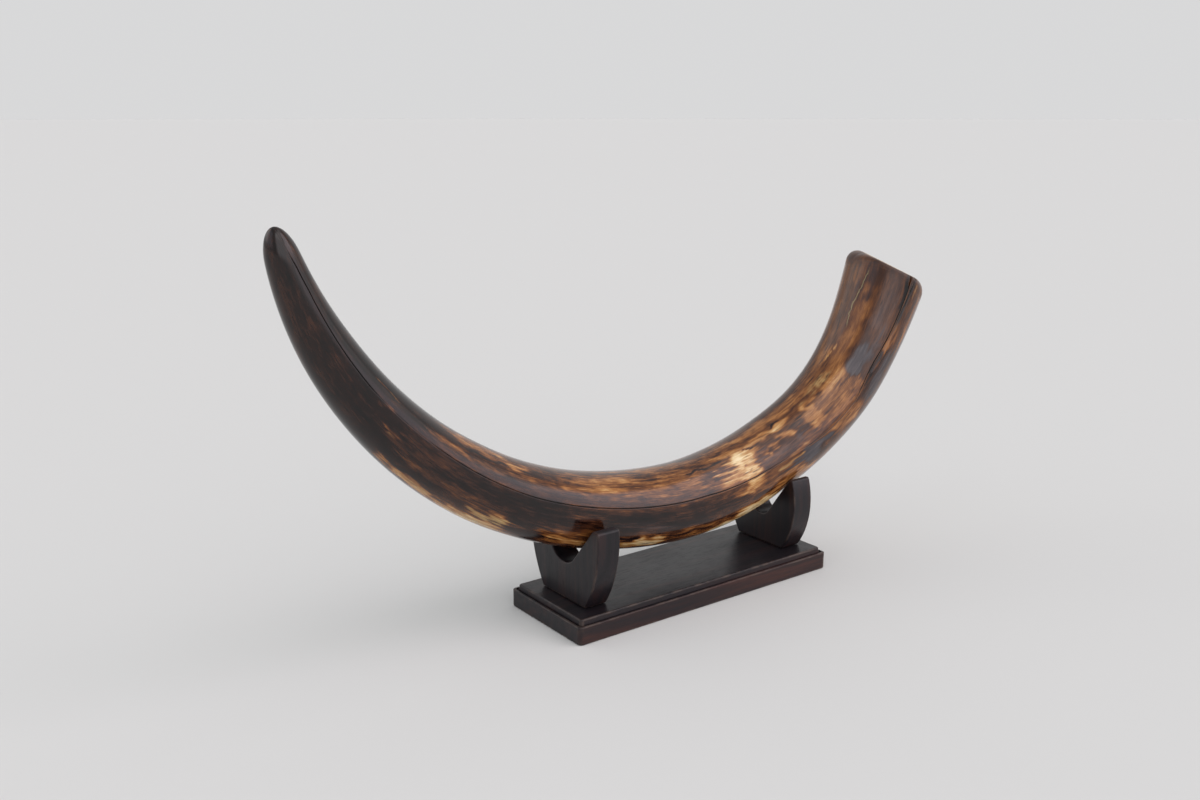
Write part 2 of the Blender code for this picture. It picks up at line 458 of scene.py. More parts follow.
@dataclass(frozen=True)
class IvoryFinish:
    """Polished ivory, stained through by minerals in streaks along its length.

    An edge is where a line on the ivory begins to fade and where it has faded, as distances from
    its middle. A stray is how far noise moves a value or a distance.
    """

    name: str = "mammoth_ivory"
    roughness: Span = (0.10, 0.19)
    matt: float = 0.3  # how much rougher the crack, the rim and the sawn face can be
    matt_crack: Span = (0.0, 0.0006)
    matt_sawn: float = 0.5
    matt_rim: float = 0.8
    smudge_scale: float = 38.0
    refraction: float = 1.475
    relief: float = 0.16
    relief_layers: Span = (0.5, 0.35)  # shares of the fine and of the hair-fine streaks
    tones: tuple[tuple[float, Colour], ...] = (
        (0.00, (0.0020, 0.0010, 0.0010)),
        (0.15, (0.0100, 0.0032, 0.0025)),
        (0.32, (0.050, 0.0175, 0.0085)),
        (0.47, (0.158, 0.0560, 0.0160)),
        (0.61, (0.345, 0.1460, 0.0420)),
        (0.75, (0.520, 0.2950, 0.1100)),
        (0.88, (0.720, 0.5400, 0.2900)),
        (1.00, (0.840, 0.7000, 0.4500)),
    )
    slate: Colour = (0.048, 0.044, 0.052)
    slate_light: Colour = (0.105, 0.092, 0.096)
    olive: Colour = (0.36, 0.30, 0.13)
    dash: Colour = (0.018, 0.009, 0.008)
    # painted shade in the gaps of the crack and of the split
    crack_gap_shade: Colour = (0.004, 0.003, 0.003)
    crack_fringe: Colour = (0.23, 0.085, 0.022)
    vein: Colour = (0.36, 0.29, 0.13)
    heart: Colour = (0.62, 0.46, 0.27)
    heart_dark: Colour = (0.22, 0.115, 0.05)
    rim_stain: Colour = (0.034, 0.015, 0.011)

    broad: Streaks = Streaks(22.0, 150.0, 0.5, 0.55)
    fine: Streaks = Streaks(60.0, 620.0, 0.2, 0.6)
    fibres: Streaks = Streaks(130.0, 2200.0, 0.0, 0.6)
    dashes: Streaks = Streaks(75.0, 900.0, 0.1, 0.5)
    mottle: Cloud = Cloud((55.0, 110.0, 110.0), 5.0, 0.6, 0.8)
    # The tone's strays with the broad, fine and hair-fine streaks and with the mottle.
    strays: tuple[float, ...] = (0.46, 0.62, 0.58, 0.50)
    contrast: Easing = (0.05, 0.45, 0.75, 1.0)  # dark tones stray less
    # Where along the tusk the streaks grow weaker: the start, the end and the share left.
    calmer: tuple[tuple[float, float, float], ...] = ((0.375, 0.410, 0.72), (0.480, 0.505, 0.62))
    slate_stray: float = 1.1
    slate_pallor: Span = (0.35, 0.75)
    slate_veil: Easing = (0.15, 0.85, 0.0, 0.85)
    olive_stray: float = 1.0
    olive_veil: Easing = (0.2, 0.9, 0.0, 0.7)
    dash_crowds: Cloud = Cloud((18.0, 60.0, 60.0), 2.0)
    dash_levels: Span = (0.725, -0.20)  # what a streak must pass, and its change in a crowd
    dash_veil: Easing = (0.0, 0.035, 0.0, 0.75)
    fringe_edge: Span = (0.0003, 0.0014)
    fringe_light: Easing = (0.25, 0.45, 0.0, 0.6)  # the fringe shows on pale tones alone
    crack_stray: float = 0.0009
    crack_edge: Span = (0.00008, 0.00030)
    least_opening: float = 0.3
    split_stray: float = 0.0016
    split_edge: Span = (0.0003, 0.0024)
    split_shade_strength: float = 0.92
    split_start: Span = (0.528, 0.548)
    vein_stray: float = 0.0050
    vein_kinks: Cloud = Cloud((260.0, 120.0, 120.0), 4.0)
    vein_edge: Span = (0.00012, 0.00042)
    vein_strength: float = 0.7
    vein_start: Span = (0.524, 0.532)
    vein_end: Span = (0.567, 0.574)
    ring_rate: float = 3400.0  # radians of the rings' wave per metre
    ring_stray: float = 0.0025
    ring_waver: Cloud = Cloud((0.0, 60.0, 60.0), 4.0)
    ring_strength: float = 0.22
    heart_patches: Cloud = Cloud((120.0, 120.0, 120.0), 5.0, 0.6)
    heart_veil: Easing = (0.3, 0.75, 0.0, 0.8)
    rind: Span = (0.021, 0.0262)  # radii between which the heart turns to rind
    rim_wear: Span = (90.0, 0.55)  # how often it breaks off per metre, and how strong it is

    def build(self, effects: SharedEffects) -> bpy.types.Material:
        """Build the material.

        Args:
            effects: The shared node groups.

        Returns:
            The finished material.
        """
        material, graph, shader = new_material(self.name)
        layers = [effects.streaks(graph, layer) for layer in (self.broad, self.fine, self.fibres)]
        _, fine, fibres = layers
        colour = self._stain(graph, *layers, graph.cloud(self.mottle))
        colour = self._dashes(graph, effects, colour)
        colour = self._cracks(graph, fine, colour)
        colour = self._sawn_face(graph, effects, colour)
        crack = graph.fade(graph.size(graph.field(CRACK)), *self.matt_crack)
        matt = graph.most(crack, graph.product(graph.field(SAWN), self.matt_sawn))
        matt = graph.most(matt, graph.product(graph.field(EDGE), self.matt_rim))
        smudges = effects.smudges(graph, self.smudge_scale, self.roughness)
        fine_share, fibre_share = self.relief_layers
        height = graph.product(fibres, fibre_share)
        height = graph.math("MULTIPLY_ADD", fine, fine_share, height)
        graph.feed(shader, {
            "Base Color": colour,
            "Roughness": graph.math("MULTIPLY_ADD", matt, self.matt, smudges),
            "IOR": self.refraction,
            "Normal": graph.bump(height, self.relief),
        })
        return material

    def _stain(self, graph: Graph, broad: Socket, fine: Socket, fibres: Socket,
               mottle: Socket) -> Socket:
        """Lay the brown tones, the slate veils and the olive ones.

        Args:
            graph: The material's tree.
            broad: Broad streaks.
            fine: Fine streaks.
            fibres: Hair-fine streaks.
            mottle: Blotches.

        Returns:
            The stained colour.
        """
        stray: object = 0.0
        for layer, amount in zip((broad, fine, fibres, mottle), self.strays):
            stray = graph.sway(stray, layer, amount)
        calm: object = 1.0
        for low, high, rest in self.calmer:
            calm = graph.product(calm, graph.span(graph.along, low, high, 1.0, rest))
        tone = graph.field(TONE)
        contrast = graph.span(tone, *self.contrast)
        tone = graph.math("MULTIPLY_ADD", graph.product(stray, calm), contrast, tone, clamp=True)
        colour = graph.ramp(tone, self.tones)
        pallor = graph.span(fine, *self.slate_pallor)
        slate_colour = graph.mix(pallor, self.slate, self.slate_light)
        slate = graph.sway(graph.field(SLATE), broad, self.slate_stray)
        colour = graph.mix(graph.span(slate, *self.slate_veil), colour, slate_colour)
        olive = graph.sway(graph.field(OLIVE), mottle, self.olive_stray)
        return graph.mix(graph.span(olive, *self.olive_veil), colour, self.olive)

    def _dashes(self, graph: Graph, effects: SharedEffects, colour: Socket) -> Socket:
        """Draw short dark dashes along the grain, thicker in some places than others.

        Args:
            graph: The material's tree.
            effects: The shared node groups.
            colour: The stained colour.

        Returns:
            The colour with the dashes on it.
        """
        marks = effects.streaks(graph, self.dashes)
        level, change = self.dash_levels
        edge = graph.math("MULTIPLY_ADD", graph.cloud(self.dash_crowds), change, level)
        over = graph.math("SUBTRACT", marks, edge)
        return graph.mix(graph.span(over, *self.dash_veil), colour, self.dash)

    def _cracks(self, graph: Graph, fine: Socket, colour: Socket) -> Socket:
        """Paint shade into the gaps of the drying crack and the split, stain their edges and draw
        the pale vein.

        Args:
            graph: The material's tree.
            fine: Fine streaks, which make the edges ragged.
            colour: The colour so far.

        Returns:
            The colour with the cracks and the vein.
        """
        ragged = graph.sway(graph.size(graph.field(CRACK)), fine, self.crack_stray)
        lit = graph.span(graph.field(TONE), *self.fringe_light)
        fringe = graph.product(graph.fade(ragged, *self.fringe_edge), lit)
        colour = graph.mix(fringe, colour, self.crack_fringe)
        opening = graph.field(OPENING)
        narrow = graph.math("DIVIDE", ragged, graph.most(opening, self.least_opening))
        line = graph.math("MULTIPLY", graph.fade(narrow, *self.crack_edge), opening, clamp=True)
        split = graph.sway(graph.size(graph.field(SPLIT)), fine, self.split_stray)
        split = graph.fade(split, *self.split_edge, self.split_shade_strength)
        split = graph.product(split, graph.span(graph.along, *self.split_start))
        # the crack's and the split's gaps are painted near black as shade
        colour = graph.mix(graph.most(line, split), colour, self.crack_gap_shade)
        kinks = graph.cloud(self.vein_kinks)
        vein = graph.size(graph.sway(graph.field(VEIN), kinks, self.vein_stray))
        vein = graph.fade(vein, *self.vein_edge, self.vein_strength)
        vein = graph.product(vein, graph.span(graph.along, *self.vein_start))
        vein = graph.product(vein, graph.fade(graph.along, *self.vein_end))
        return graph.mix(vein, colour, self.vein)

    def _sawn_face(self, graph: Graph, effects: SharedEffects, colour: Socket) -> Socket:
        """Show the growth rings on the sawn face, under a dark rind.

        Args:
            graph: The material's tree.
            effects: The shared node groups.
            colour: The outside's colour.

        Returns:
            The colour of the outside and the sawn face.
        """
        across = graph.vector("MULTIPLY", graph.place, (0.0, 1.0, 1.0))
        length = graph.add("ShaderNodeVectorMath", {0: across}, operation="LENGTH")
        radius = length.outputs["Value"]
        wavy = graph.math("MULTIPLY_ADD", graph.cloud(self.ring_waver), self.ring_stray, radius)
        rings = graph.span(graph.math("SINE", graph.product(wavy, self.ring_rate)), -1.0, 1.0)
        patches = graph.span(graph.cloud(self.heart_patches), *self.heart_veil)
        shade = graph.math("MULTIPLY_ADD", rings, self.ring_strength, patches)
        shade = graph.most(shade, graph.span(radius, *self.rind))
        face = graph.mix(shade, self.heart, self.heart_dark)
        colour = graph.mix(effects.wear_and_highlight(graph, *self.rim_wear), colour, self.rim_stain)
        return graph.mix(graph.field(SAWN), colour, face)


@dataclass(frozen=True)
class WoodFinish:
    """Dense hardwood, stained nearly black, with a satin finish."""

    name: str = "dark_hardwood"
    roughness: Span = (0.30, 0.38)
    smudge_scale: float = 45.0
    refraction: float = 1.39
    relief: float = 0.12
    figure_relief: float = 0.4
    tones: tuple[tuple[float, Colour], ...] = (
        (0.28, (0.0058, 0.0052, 0.0068)),
        (0.48, (0.0116, 0.0090, 0.0114)),
        (0.67, (0.0250, 0.0120, 0.0118)),
        (0.84, (0.0560, 0.0200, 0.0155)),
    )
    # lighter colour on the arrises: partly wearing, partly a painted highlight
    wear_and_highlight_colour: Colour = (0.075, 0.052, 0.042)
    figure: Streaks = Streaks(9.0, 170.0, 0.6, 0.5)
    pores: Streaks = Streaks(110.0, 2600.0, 0.0, 0.5)
    pore_tone: float = 0.35
    pore_depth: float = 0.15
    pore_edge: Span = (0.36, 0.46)
    wear_and_highlight: Span = (120.0, 0.7)  # the wearing and painted highlight on the arrises: how often they break off per metre, and how strong they are
    painted_light_lift: float = 0.17  # how much the painted light on the long sides and the moulded bands lifts the tone

    def build(self, effects: SharedEffects) -> bpy.types.Material:
        """Build the material.

        Args:
            effects: The shared node groups.

        Returns:
            The finished material.
        """
        material, graph, shader = new_material(self.name)
        figure = effects.streaks(graph, self.figure)
        pores = effects.streaks(graph, self.pores)
        tone = graph.sway(figure, pores, self.pore_tone)
        # the long sides and the moulded bands are lifted by painted light
        tone = graph.math("MULTIPLY_ADD", graph.field(PAINTED_LIGHT), self.painted_light_lift, tone)
        colour = graph.ramp(tone, self.tones)
        pits = graph.fade(pores, *self.pore_edge, self.pore_depth)
        smudges = effects.smudges(graph, self.smudge_scale, self.roughness)
        height = graph.math("SUBTRACT", graph.product(figure, self.figure_relief), pits)
        graph.feed(shader, {
            # the arrises are lightened by wearing and a painted highlight
            "Base Color": graph.mix(effects.wear_and_highlight(graph, *self.wear_and_highlight), colour, self.wear_and_highlight_colour),
            "Roughness": graph.math("ADD", smudges, pits),
            "IOR": self.refraction,
            "Normal": graph.bump(height, self.relief),
        })
        return material


@dataclass(frozen=True)
class StudioFinish:
    """Plain pale matt floor."""

    name: str = "studio_floor"
    colour: Colour = (0.690, 0.696, 0.680)

    def build(self) -> bpy.types.Material:
        """Build the material.

        Returns:
            The finished material.
        """
        material, graph, shader = new_material(self.name)
        graph.feed(shader, {
            "Base Color": (*self.colour, 1.0), "Roughness": 1.0, "Specular IOR Level": 0.0,
        })
        return material


# ---------------------------------------------------------------------------------------------
# The tusk


class Stain(Enum):
    """Kinds of mineral stain, some also used for painted sheen: the tone each one sets, and how
    slate or olive it is.
    """

    CREAM = (0.96, 0.0, 0.0)
    HONEY = (0.78, 0.0, 0.0)
    TAN = (0.64, 0.0, 0.0)
    RUST = (0.52, 0.0, 0.0)
    BROWN = (0.38, 0.0, 0.0)
    UMBER = (0.27, 0.0, 0.0)
    SOOT = (0.13, 0.0, 0.0)
    BLACK = (0.03, 0.0, 0.0)
    SLATE = (0.24, 1.0, 0.0)
    SMOKE = (0.36, 0.5, 0.0)
    OLIVE = (0.66, 0.0, 0.8)


# Each row is a stain or, where a comment says so, a painted sheen: its middle along the tusk in
# millimetres and round it in degrees, its half length and half width in the same units, and how
# much of it shows.
STAINS: tuple[tuple[Stain, float, float, float, float, float], ...] = (
    # tip
    (Stain.SOOT, 60, 0, 105, 180, 1.0),
    (Stain.UMBER, 76, 27, 20, 4, 0.5),
    (Stain.UMBER, 45, -14, 22, 12, 0.35),
    (Stain.BROWN, 101, 9, 6, 4, 0.6),
    (Stain.OLIVE, 99, 36, 8, 2.5, 0.5),
    (Stain.OLIVE, 118, -17, 6, 5, 0.45),
    (Stain.UMBER, 130, -6, 13, 32, 0.8),
    (Stain.RUST, 147, 32, 18, 6, 0.6),
    (Stain.BROWN, 138, -34, 11, 7, 0.7),
    (Stain.HONEY, 141, -68, 19, 12, 0.9),
    (Stain.OLIVE, 145, -61, 8, 8, 0.6),
    (Stain.UMBER, 157, -61, 4, 7, 0.5),
    (Stain.HONEY, 180, -70, 22, 15, 0.9),
    (Stain.HONEY, 200, -58, 16, 22, 0.75),
    (Stain.OLIVE, 193, -45, 12, 12, 0.8),
    (Stain.TAN, 190, -32, 9, 4, 0.7),
    (Stain.TAN, 168, 64, 28, 9, 0.8),
    (Stain.RUST, 176, 54, 30, 6, 0.8),
    (Stain.HONEY, 196, 55, 11, 7, 0.75),
    (Stain.SOOT, 165, 46, 22, 3.0, 0.8),
    (Stain.SOOT, 167, 10, 19, 7, 0.85),
    (Stain.RUST, 199, 39, 15, 7, 0.7),
    (Stain.BLACK, 175, -8, 18, 12, 0.6),
    # first bend
    (Stain.SOOT, 206, 23, 36, 7, 0.95),
    (Stain.SOOT, 222, -1, 50, 19, 0.95),
    (Stain.SOOT, 214, -44, 16, 26, 0.85),
    (Stain.SOOT, 213, -24, 19, 13, 0.8),
    (Stain.UMBER, 233, 55, 21, 7, 0.85),
    (Stain.RUST, 266, 69, 34, 9, 0.8),
    (Stain.RUST, 250, 55, 22, 7, 0.9),
    (Stain.UMBER, 224, 34, 26, 6, 0.8),
    (Stain.RUST, 254, 41, 20, 8, 0.8),
    (Stain.BROWN, 240, -30, 17, 6, 0.7),
    (Stain.HONEY, 246, -46, 13, 9, 0.8),
    (Stain.RUST, 233, -35, 8, 4, 0.7),
    (Stain.BLACK, 229, -46, 9, 3, 0.6),
    # belly
    (Stain.SOOT, 303, -5, 70, 19, 0.95),
    (Stain.SLATE, 305, -8, 56, 11, 0.30),
    (Stain.UMBER, 327, -1, 24, 9, 0.7),
    (Stain.BROWN, 251, 1, 12, 10, 0.75),
    (Stain.UMBER, 260, 22, 90, 7, 0.7),
    (Stain.UMBER, 321, 25, 40, 7, 0.8),
    (Stain.BROWN, 316, 34, 50, 8, 0.8),
    (Stain.RUST, 311, 45, 44, 7, 0.8),
    (Stain.TAN, 268, 46, 16, 5, 0.6),
    (Stain.RUST, 358, 27, 13, 11, 0.75),
    (Stain.RUST, 314, 57, 48, 7, 0.85),
    (Stain.TAN, 276, 62, 16, 10, 0.8),
    (Stain.HONEY, 320, 62, 8, 2.0, 0.6),
    (Stain.BLACK, 345, 59, 16, 1.6, 0.9),
    (Stain.SOOT, 300, 60, 16, 1.4, 0.6),
    (Stain.RUST, 326, 70, 24, 6, 0.8),
    (Stain.TAN, 366, 70, 15, 6, 0.8),
    (Stain.RUST, 302, 84, 50, 9, 0.8),
    (Stain.TAN, 390, 83, 18, 6, 0.8),
    (Stain.CREAM, 297, -43, 18, 14, 0.85),
    (Stain.BLACK, 284, -32, 8, 4.5, 0.8),
    (Stain.UMBER, 303, -32, 6, 3, 0.8),
    (Stain.BROWN, 336, -36, 30, 13, 0.9),
    (Stain.BLACK, 330, -33, 14, 3, 0.7),
    (Stain.RUST, 346, -30, 15, 5, 0.6),
    (Stain.CREAM, 358, -52, 20, 13, 0.9),
    (Stain.CREAM, 384, -37, 19, 16, 0.9),
    # bright saddle
    (Stain.HONEY, 372, 40, 10, 22, 0.8),
    (Stain.CREAM, 379, 50, 15, 15, 0.7),
    (Stain.CREAM, 382, 24, 7, 18, 0.75),
    (Stain.TAN, 376, 3, 12, 8, 0.95),
    (Stain.UMBER, 364, -11, 14, 7, 0.5),
    (Stain.TAN, 407, -20, 17, 7, 0.9),
    (Stain.BLACK, 388, 59, 4.5, 1.8, 0.95),
    (Stain.SLATE, 387, 36, 4.5, 2.0, 0.8),
    (Stain.TAN, 404, 65, 16, 7, 0.85),
    (Stain.TAN, 430, 84, 50, 11, 0.7),
    (Stain.HONEY, 421, 62, 12, 5, 0.7),
    (Stain.BLACK, 421, 68, 5.0, 1.4, 0.9),
    (Stain.SMOKE, 410, 35, 26, 17, 0.8),
    (Stain.HONEY, 400, 36, 5, 6, 0.55),
    (Stain.HONEY, 421, 44, 12, 8, 0.7),
    (Stain.UMBER, 407, 20, 20, 6, 0.75),
    (Stain.SLATE, 430, 35, 10, 8, 0.4),
    (Stain.BROWN, 397, 8, 13, 5, 0.5),
    (Stain.OLIVE, 428, 14, 11, 3, 0.5),
    (Stain.OLIVE, 416, 4, 12, 4, 0.6),
    (Stain.HONEY, 415, -9, 12, 4, 0.5),
    (Stain.RUST, 397, -7, 13, 5, 0.75),
    (Stain.TAN, 423, -32, 21, 10, 0.85),
    (Stain.SLATE, 432, -4, 16, 13, 0.95),
    # second bend
    (Stain.BROWN, 440, 68, 8, 2.5, 0.8),
    (Stain.RUST, 470, 34, 24, 22, 0.8),
    (Stain.TAN, 482, 54, 21, 8, 0.9),
    (Stain.HONEY, 447, 43, 7, 26, 0.65),
    (Stain.BROWN, 444, 8, 8, 5, 0.5),
    (Stain.UMBER, 458, 28, 10, 1.6, 0.6),
    (Stain.UMBER, 482, 39, 8, 1.8, 0.6),
    (Stain.OLIVE, 472, 70, 22, 10, 0.6),
    (Stain.RUST, 495, 93, 20, 14, 0.8),
    (Stain.HONEY, 501, 83, 4, 3, 0.8),
    (Stain.RUST, 466, -6, 17, 13, 0.9),
    (Stain.TAN, 478, -12, 9, 6, 0.6),
    (Stain.RUST, 478, 11, 14, 5, 0.85),
    (Stain.TAN, 490, 20, 5, 8, 0.6),
    # root
    (Stain.RUST, 512, 68, 24, 13, 1.0),
    (Stain.SLATE, 505, 37, 14, 14, 0.9),
    (Stain.SLATE, 504, -9, 22, 12, 0.65),
    # partly grey staining, partly a painted sheen from the light on the root above the crack
    (Stain.SMOKE, 545, 32, 26, 16, 0.75),
    (Stain.SLATE, 522, 24, 10, 8, 0.4),
    (Stain.BROWN, 548, 54, 20, 5, 0.6),
    (Stain.TAN, 540, 63, 10, 4, 0.5),
    (Stain.RUST, 540, 66, 24, 11, 1.0),
    (Stain.BROWN, 545, 98, 38, 14, 0.9),
    (Stain.RUST, 548, 122, 36, 22, 0.75),
    (Stain.BROWN, 490, 124, 34, 20, 0.75),
    (Stain.RUST, 573, 86, 13, 22, 0.75),
    (Stain.UMBER, 566, 62, 10, 16, 0.7),
    (Stain.SOOT, 511, 8, 10, 6, 0.9),
    (Stain.RUST, 527, 7.5, 14, 5.5, 1.0),
    (Stain.TAN, 534, 1, 5, 4, 0.5),
    (Stain.BROWN, 552, -1, 14, 5, 0.6),
    (Stain.BROWN, 565, -4, 9, 6, 0.5),
    (Stain.OLIVE, 573, -1, 5, 3, 0.5),
    (Stain.UMBER, 572, 60, 8, 24, 0.5),
    (Stain.BLACK, 568, 15.5, 10, 2.6, 1.0),
    # painted reflection: this pale patch and the grey one below it stand in for the highlight
    # under the crack at the root
    (Stain.HONEY, 561, -22, 18, 7, 0.6),
    (Stain.SMOKE, 545, -22, 34, 9, 0.6),
    (Stain.TAN, 544, -18, 26, 4, 0.6),
    (Stain.RUST, 458, 89, 44, 9, 0.5),
)


class TuskAxis:
    """The tusk's centreline, a natural cubic spline in the XZ plane, and its radius along it."""

    # Each station holds its x, its z and the radius there.
    STATIONS = (
        (-0.2493, 0.2420, 0.0066),
        (-0.2443, 0.2230, 0.0092),
        (-0.2200, 0.1705, 0.0147),
        (-0.1780, 0.1215, 0.0186),
        (-0.1200, 0.0835, 0.0213),
        (-0.0520, 0.0620, 0.0234),
        (0.0180, 0.0585, 0.0249),
        (0.0860, 0.0765, 0.0247),
        (0.1435, 0.1125, 0.0250),
        (0.1750, 0.1580, 0.0269),
        (0.1910, 0.1960, 0.0290),
    )
    TIP_LENGTH = 0.0170
    TIP_POWER = 2.8

    def __init__(self) -> None:
        """Solve the spline's bends."""
        self.rows = np.array(self.STATIONS)
        self.steps = np.hypot(*np.diff(self.rows[:, :2], axis=0).T)
        self.marks = np.concatenate(([0.0], np.cumsum(self.steps)))
        count = len(self.rows)
        system = np.eye(count)
        target = np.zeros_like(self.rows)
        slopes = np.diff(self.rows, axis=0) / self.steps[:, None]
        for i in range(1, count - 1):
            before, after = self.steps[i - 1], self.steps[i]
            system[i, i - 1:i + 2] = before, 2 * (before + after), after
            target[i] = 6 * (slopes[i] - slopes[i - 1])
        self.bends = np.linalg.solve(system, target)

    def at(self, along: np.ndarray) -> tuple[np.ndarray, np.ndarray]:
        """Find the centreline and its slope.

        Args:
            along: Distances along the centreline.

        Returns:
            The x, z and radius at each distance, and their change per metre.
        """
        i = np.clip(np.searchsorted(self.marks, along) - 1, 0, len(self.steps) - 1)
        length = self.steps[i][..., None]
        a = ((self.marks[i + 1] - along)[..., None]) / length
        b = 1 - a
        first, second = self.bends[i], self.bends[i + 1]
        place = a * self.rows[i] + b * self.rows[i + 1]
        place = place + ((a ** 3 - a) * first + (b ** 3 - b) * second) * length ** 2 / 6
        slope = (self.rows[i + 1] - self.rows[i]) / length
        slope = slope + ((1 - 3 * a ** 2) * first + (3 * b ** 2 - 1) * second) * length / 6
        return place, slope

    def frame(self, along: np.ndarray) -> tuple[np.ndarray, ...]:
        """Find the tusk's frame.

        Args:
            along: Distances along the centreline.

        Returns:
            The centre, the radius, the direction and the inner side at each distance.
        """
        along = np.asarray(along, dtype=float)
        place, slope = self.at(along)
        nothing = np.zeros_like(along)
        direction = np.stack((slope[..., 0], nothing, slope[..., 1]), axis=-1)
        direction /= np.linalg.norm(direction, axis=-1, keepdims=True)
        inner = np.stack((-direction[..., 2], nothing, direction[..., 0]), axis=-1)
        centre = np.stack((place[..., 0], nothing, place[..., 1]), axis=-1)
        short = np.clip(1 - along / self.TIP_LENGTH, 0, 1)
        radius = place[..., 2] * np.sqrt(np.clip(1 - short ** self.TIP_POWER, 0, 1))
        return centre, radius, direction, inner


@dataclass
class Skin:
    """A surface as rings of points, with what the finish needs to know at each."""

    places: np.ndarray
    straight: np.ndarray
    along: np.ndarray
    angle: np.ndarray
    edge: np.ndarray
    sawn: np.ndarray

    def joined(self, other: "Skin") -> "Skin":
        """Join another surface's rings on after this one's."""
        pairs = zip(vars(self).values(), vars(other).values())
        return Skin(*(np.concatenate(pair) for pair in pairs))


@dataclass(frozen=True)
class Course:
    """A value that runs straight from each of its points to the next."""

    points: tuple[Span, ...]  # the place and the value of each

    def at(self, place: np.ndarray) -> np.ndarray:
        """Read the value at places."""
        return np.interp(place, *zip(*self.points))


@dataclass(frozen=True)
class Waves:
    """Gentle waves, drawn at random, that add up to an uneven height."""

    height: float
    lengths: Span  # the shortest and the longest wave along the tusk
    turns: int  # the most waves round the tusk
    count: int

    PEAK = 1.4  # about how high the waves add up, over the square root of their number

    def draw(self, random: np.random.Generator) -> np.ndarray:
        """Draw the waves.

        Args:
            random: The source of chance.

        Returns:
            For each wave its length, its number of waves round the tusk, and its phase.
        """
        return np.stack((
            random.uniform(*self.lengths, self.count),
            random.integers(0, self.turns + 1, self.count),
            random.uniform(0, 2 * pi, self.count),
        ), axis=1)

    def add_up(self, drawn: np.ndarray, along: np.ndarray, angle: np.ndarray) -> np.ndarray:
        """Add the waves up.

        Args:
            drawn: The waves, as draw gives them.
            along: Distances along the tusk.
            angle: Angles round it.

        Returns:
            The height at each point.
        """
        total = np.zeros_like(along)
        for length, times, phase in drawn:
            total = total + np.sin(2 * pi * along / length + times * angle + phase)
        return total / len(drawn) ** 0.5 / self.PEAK * self.height


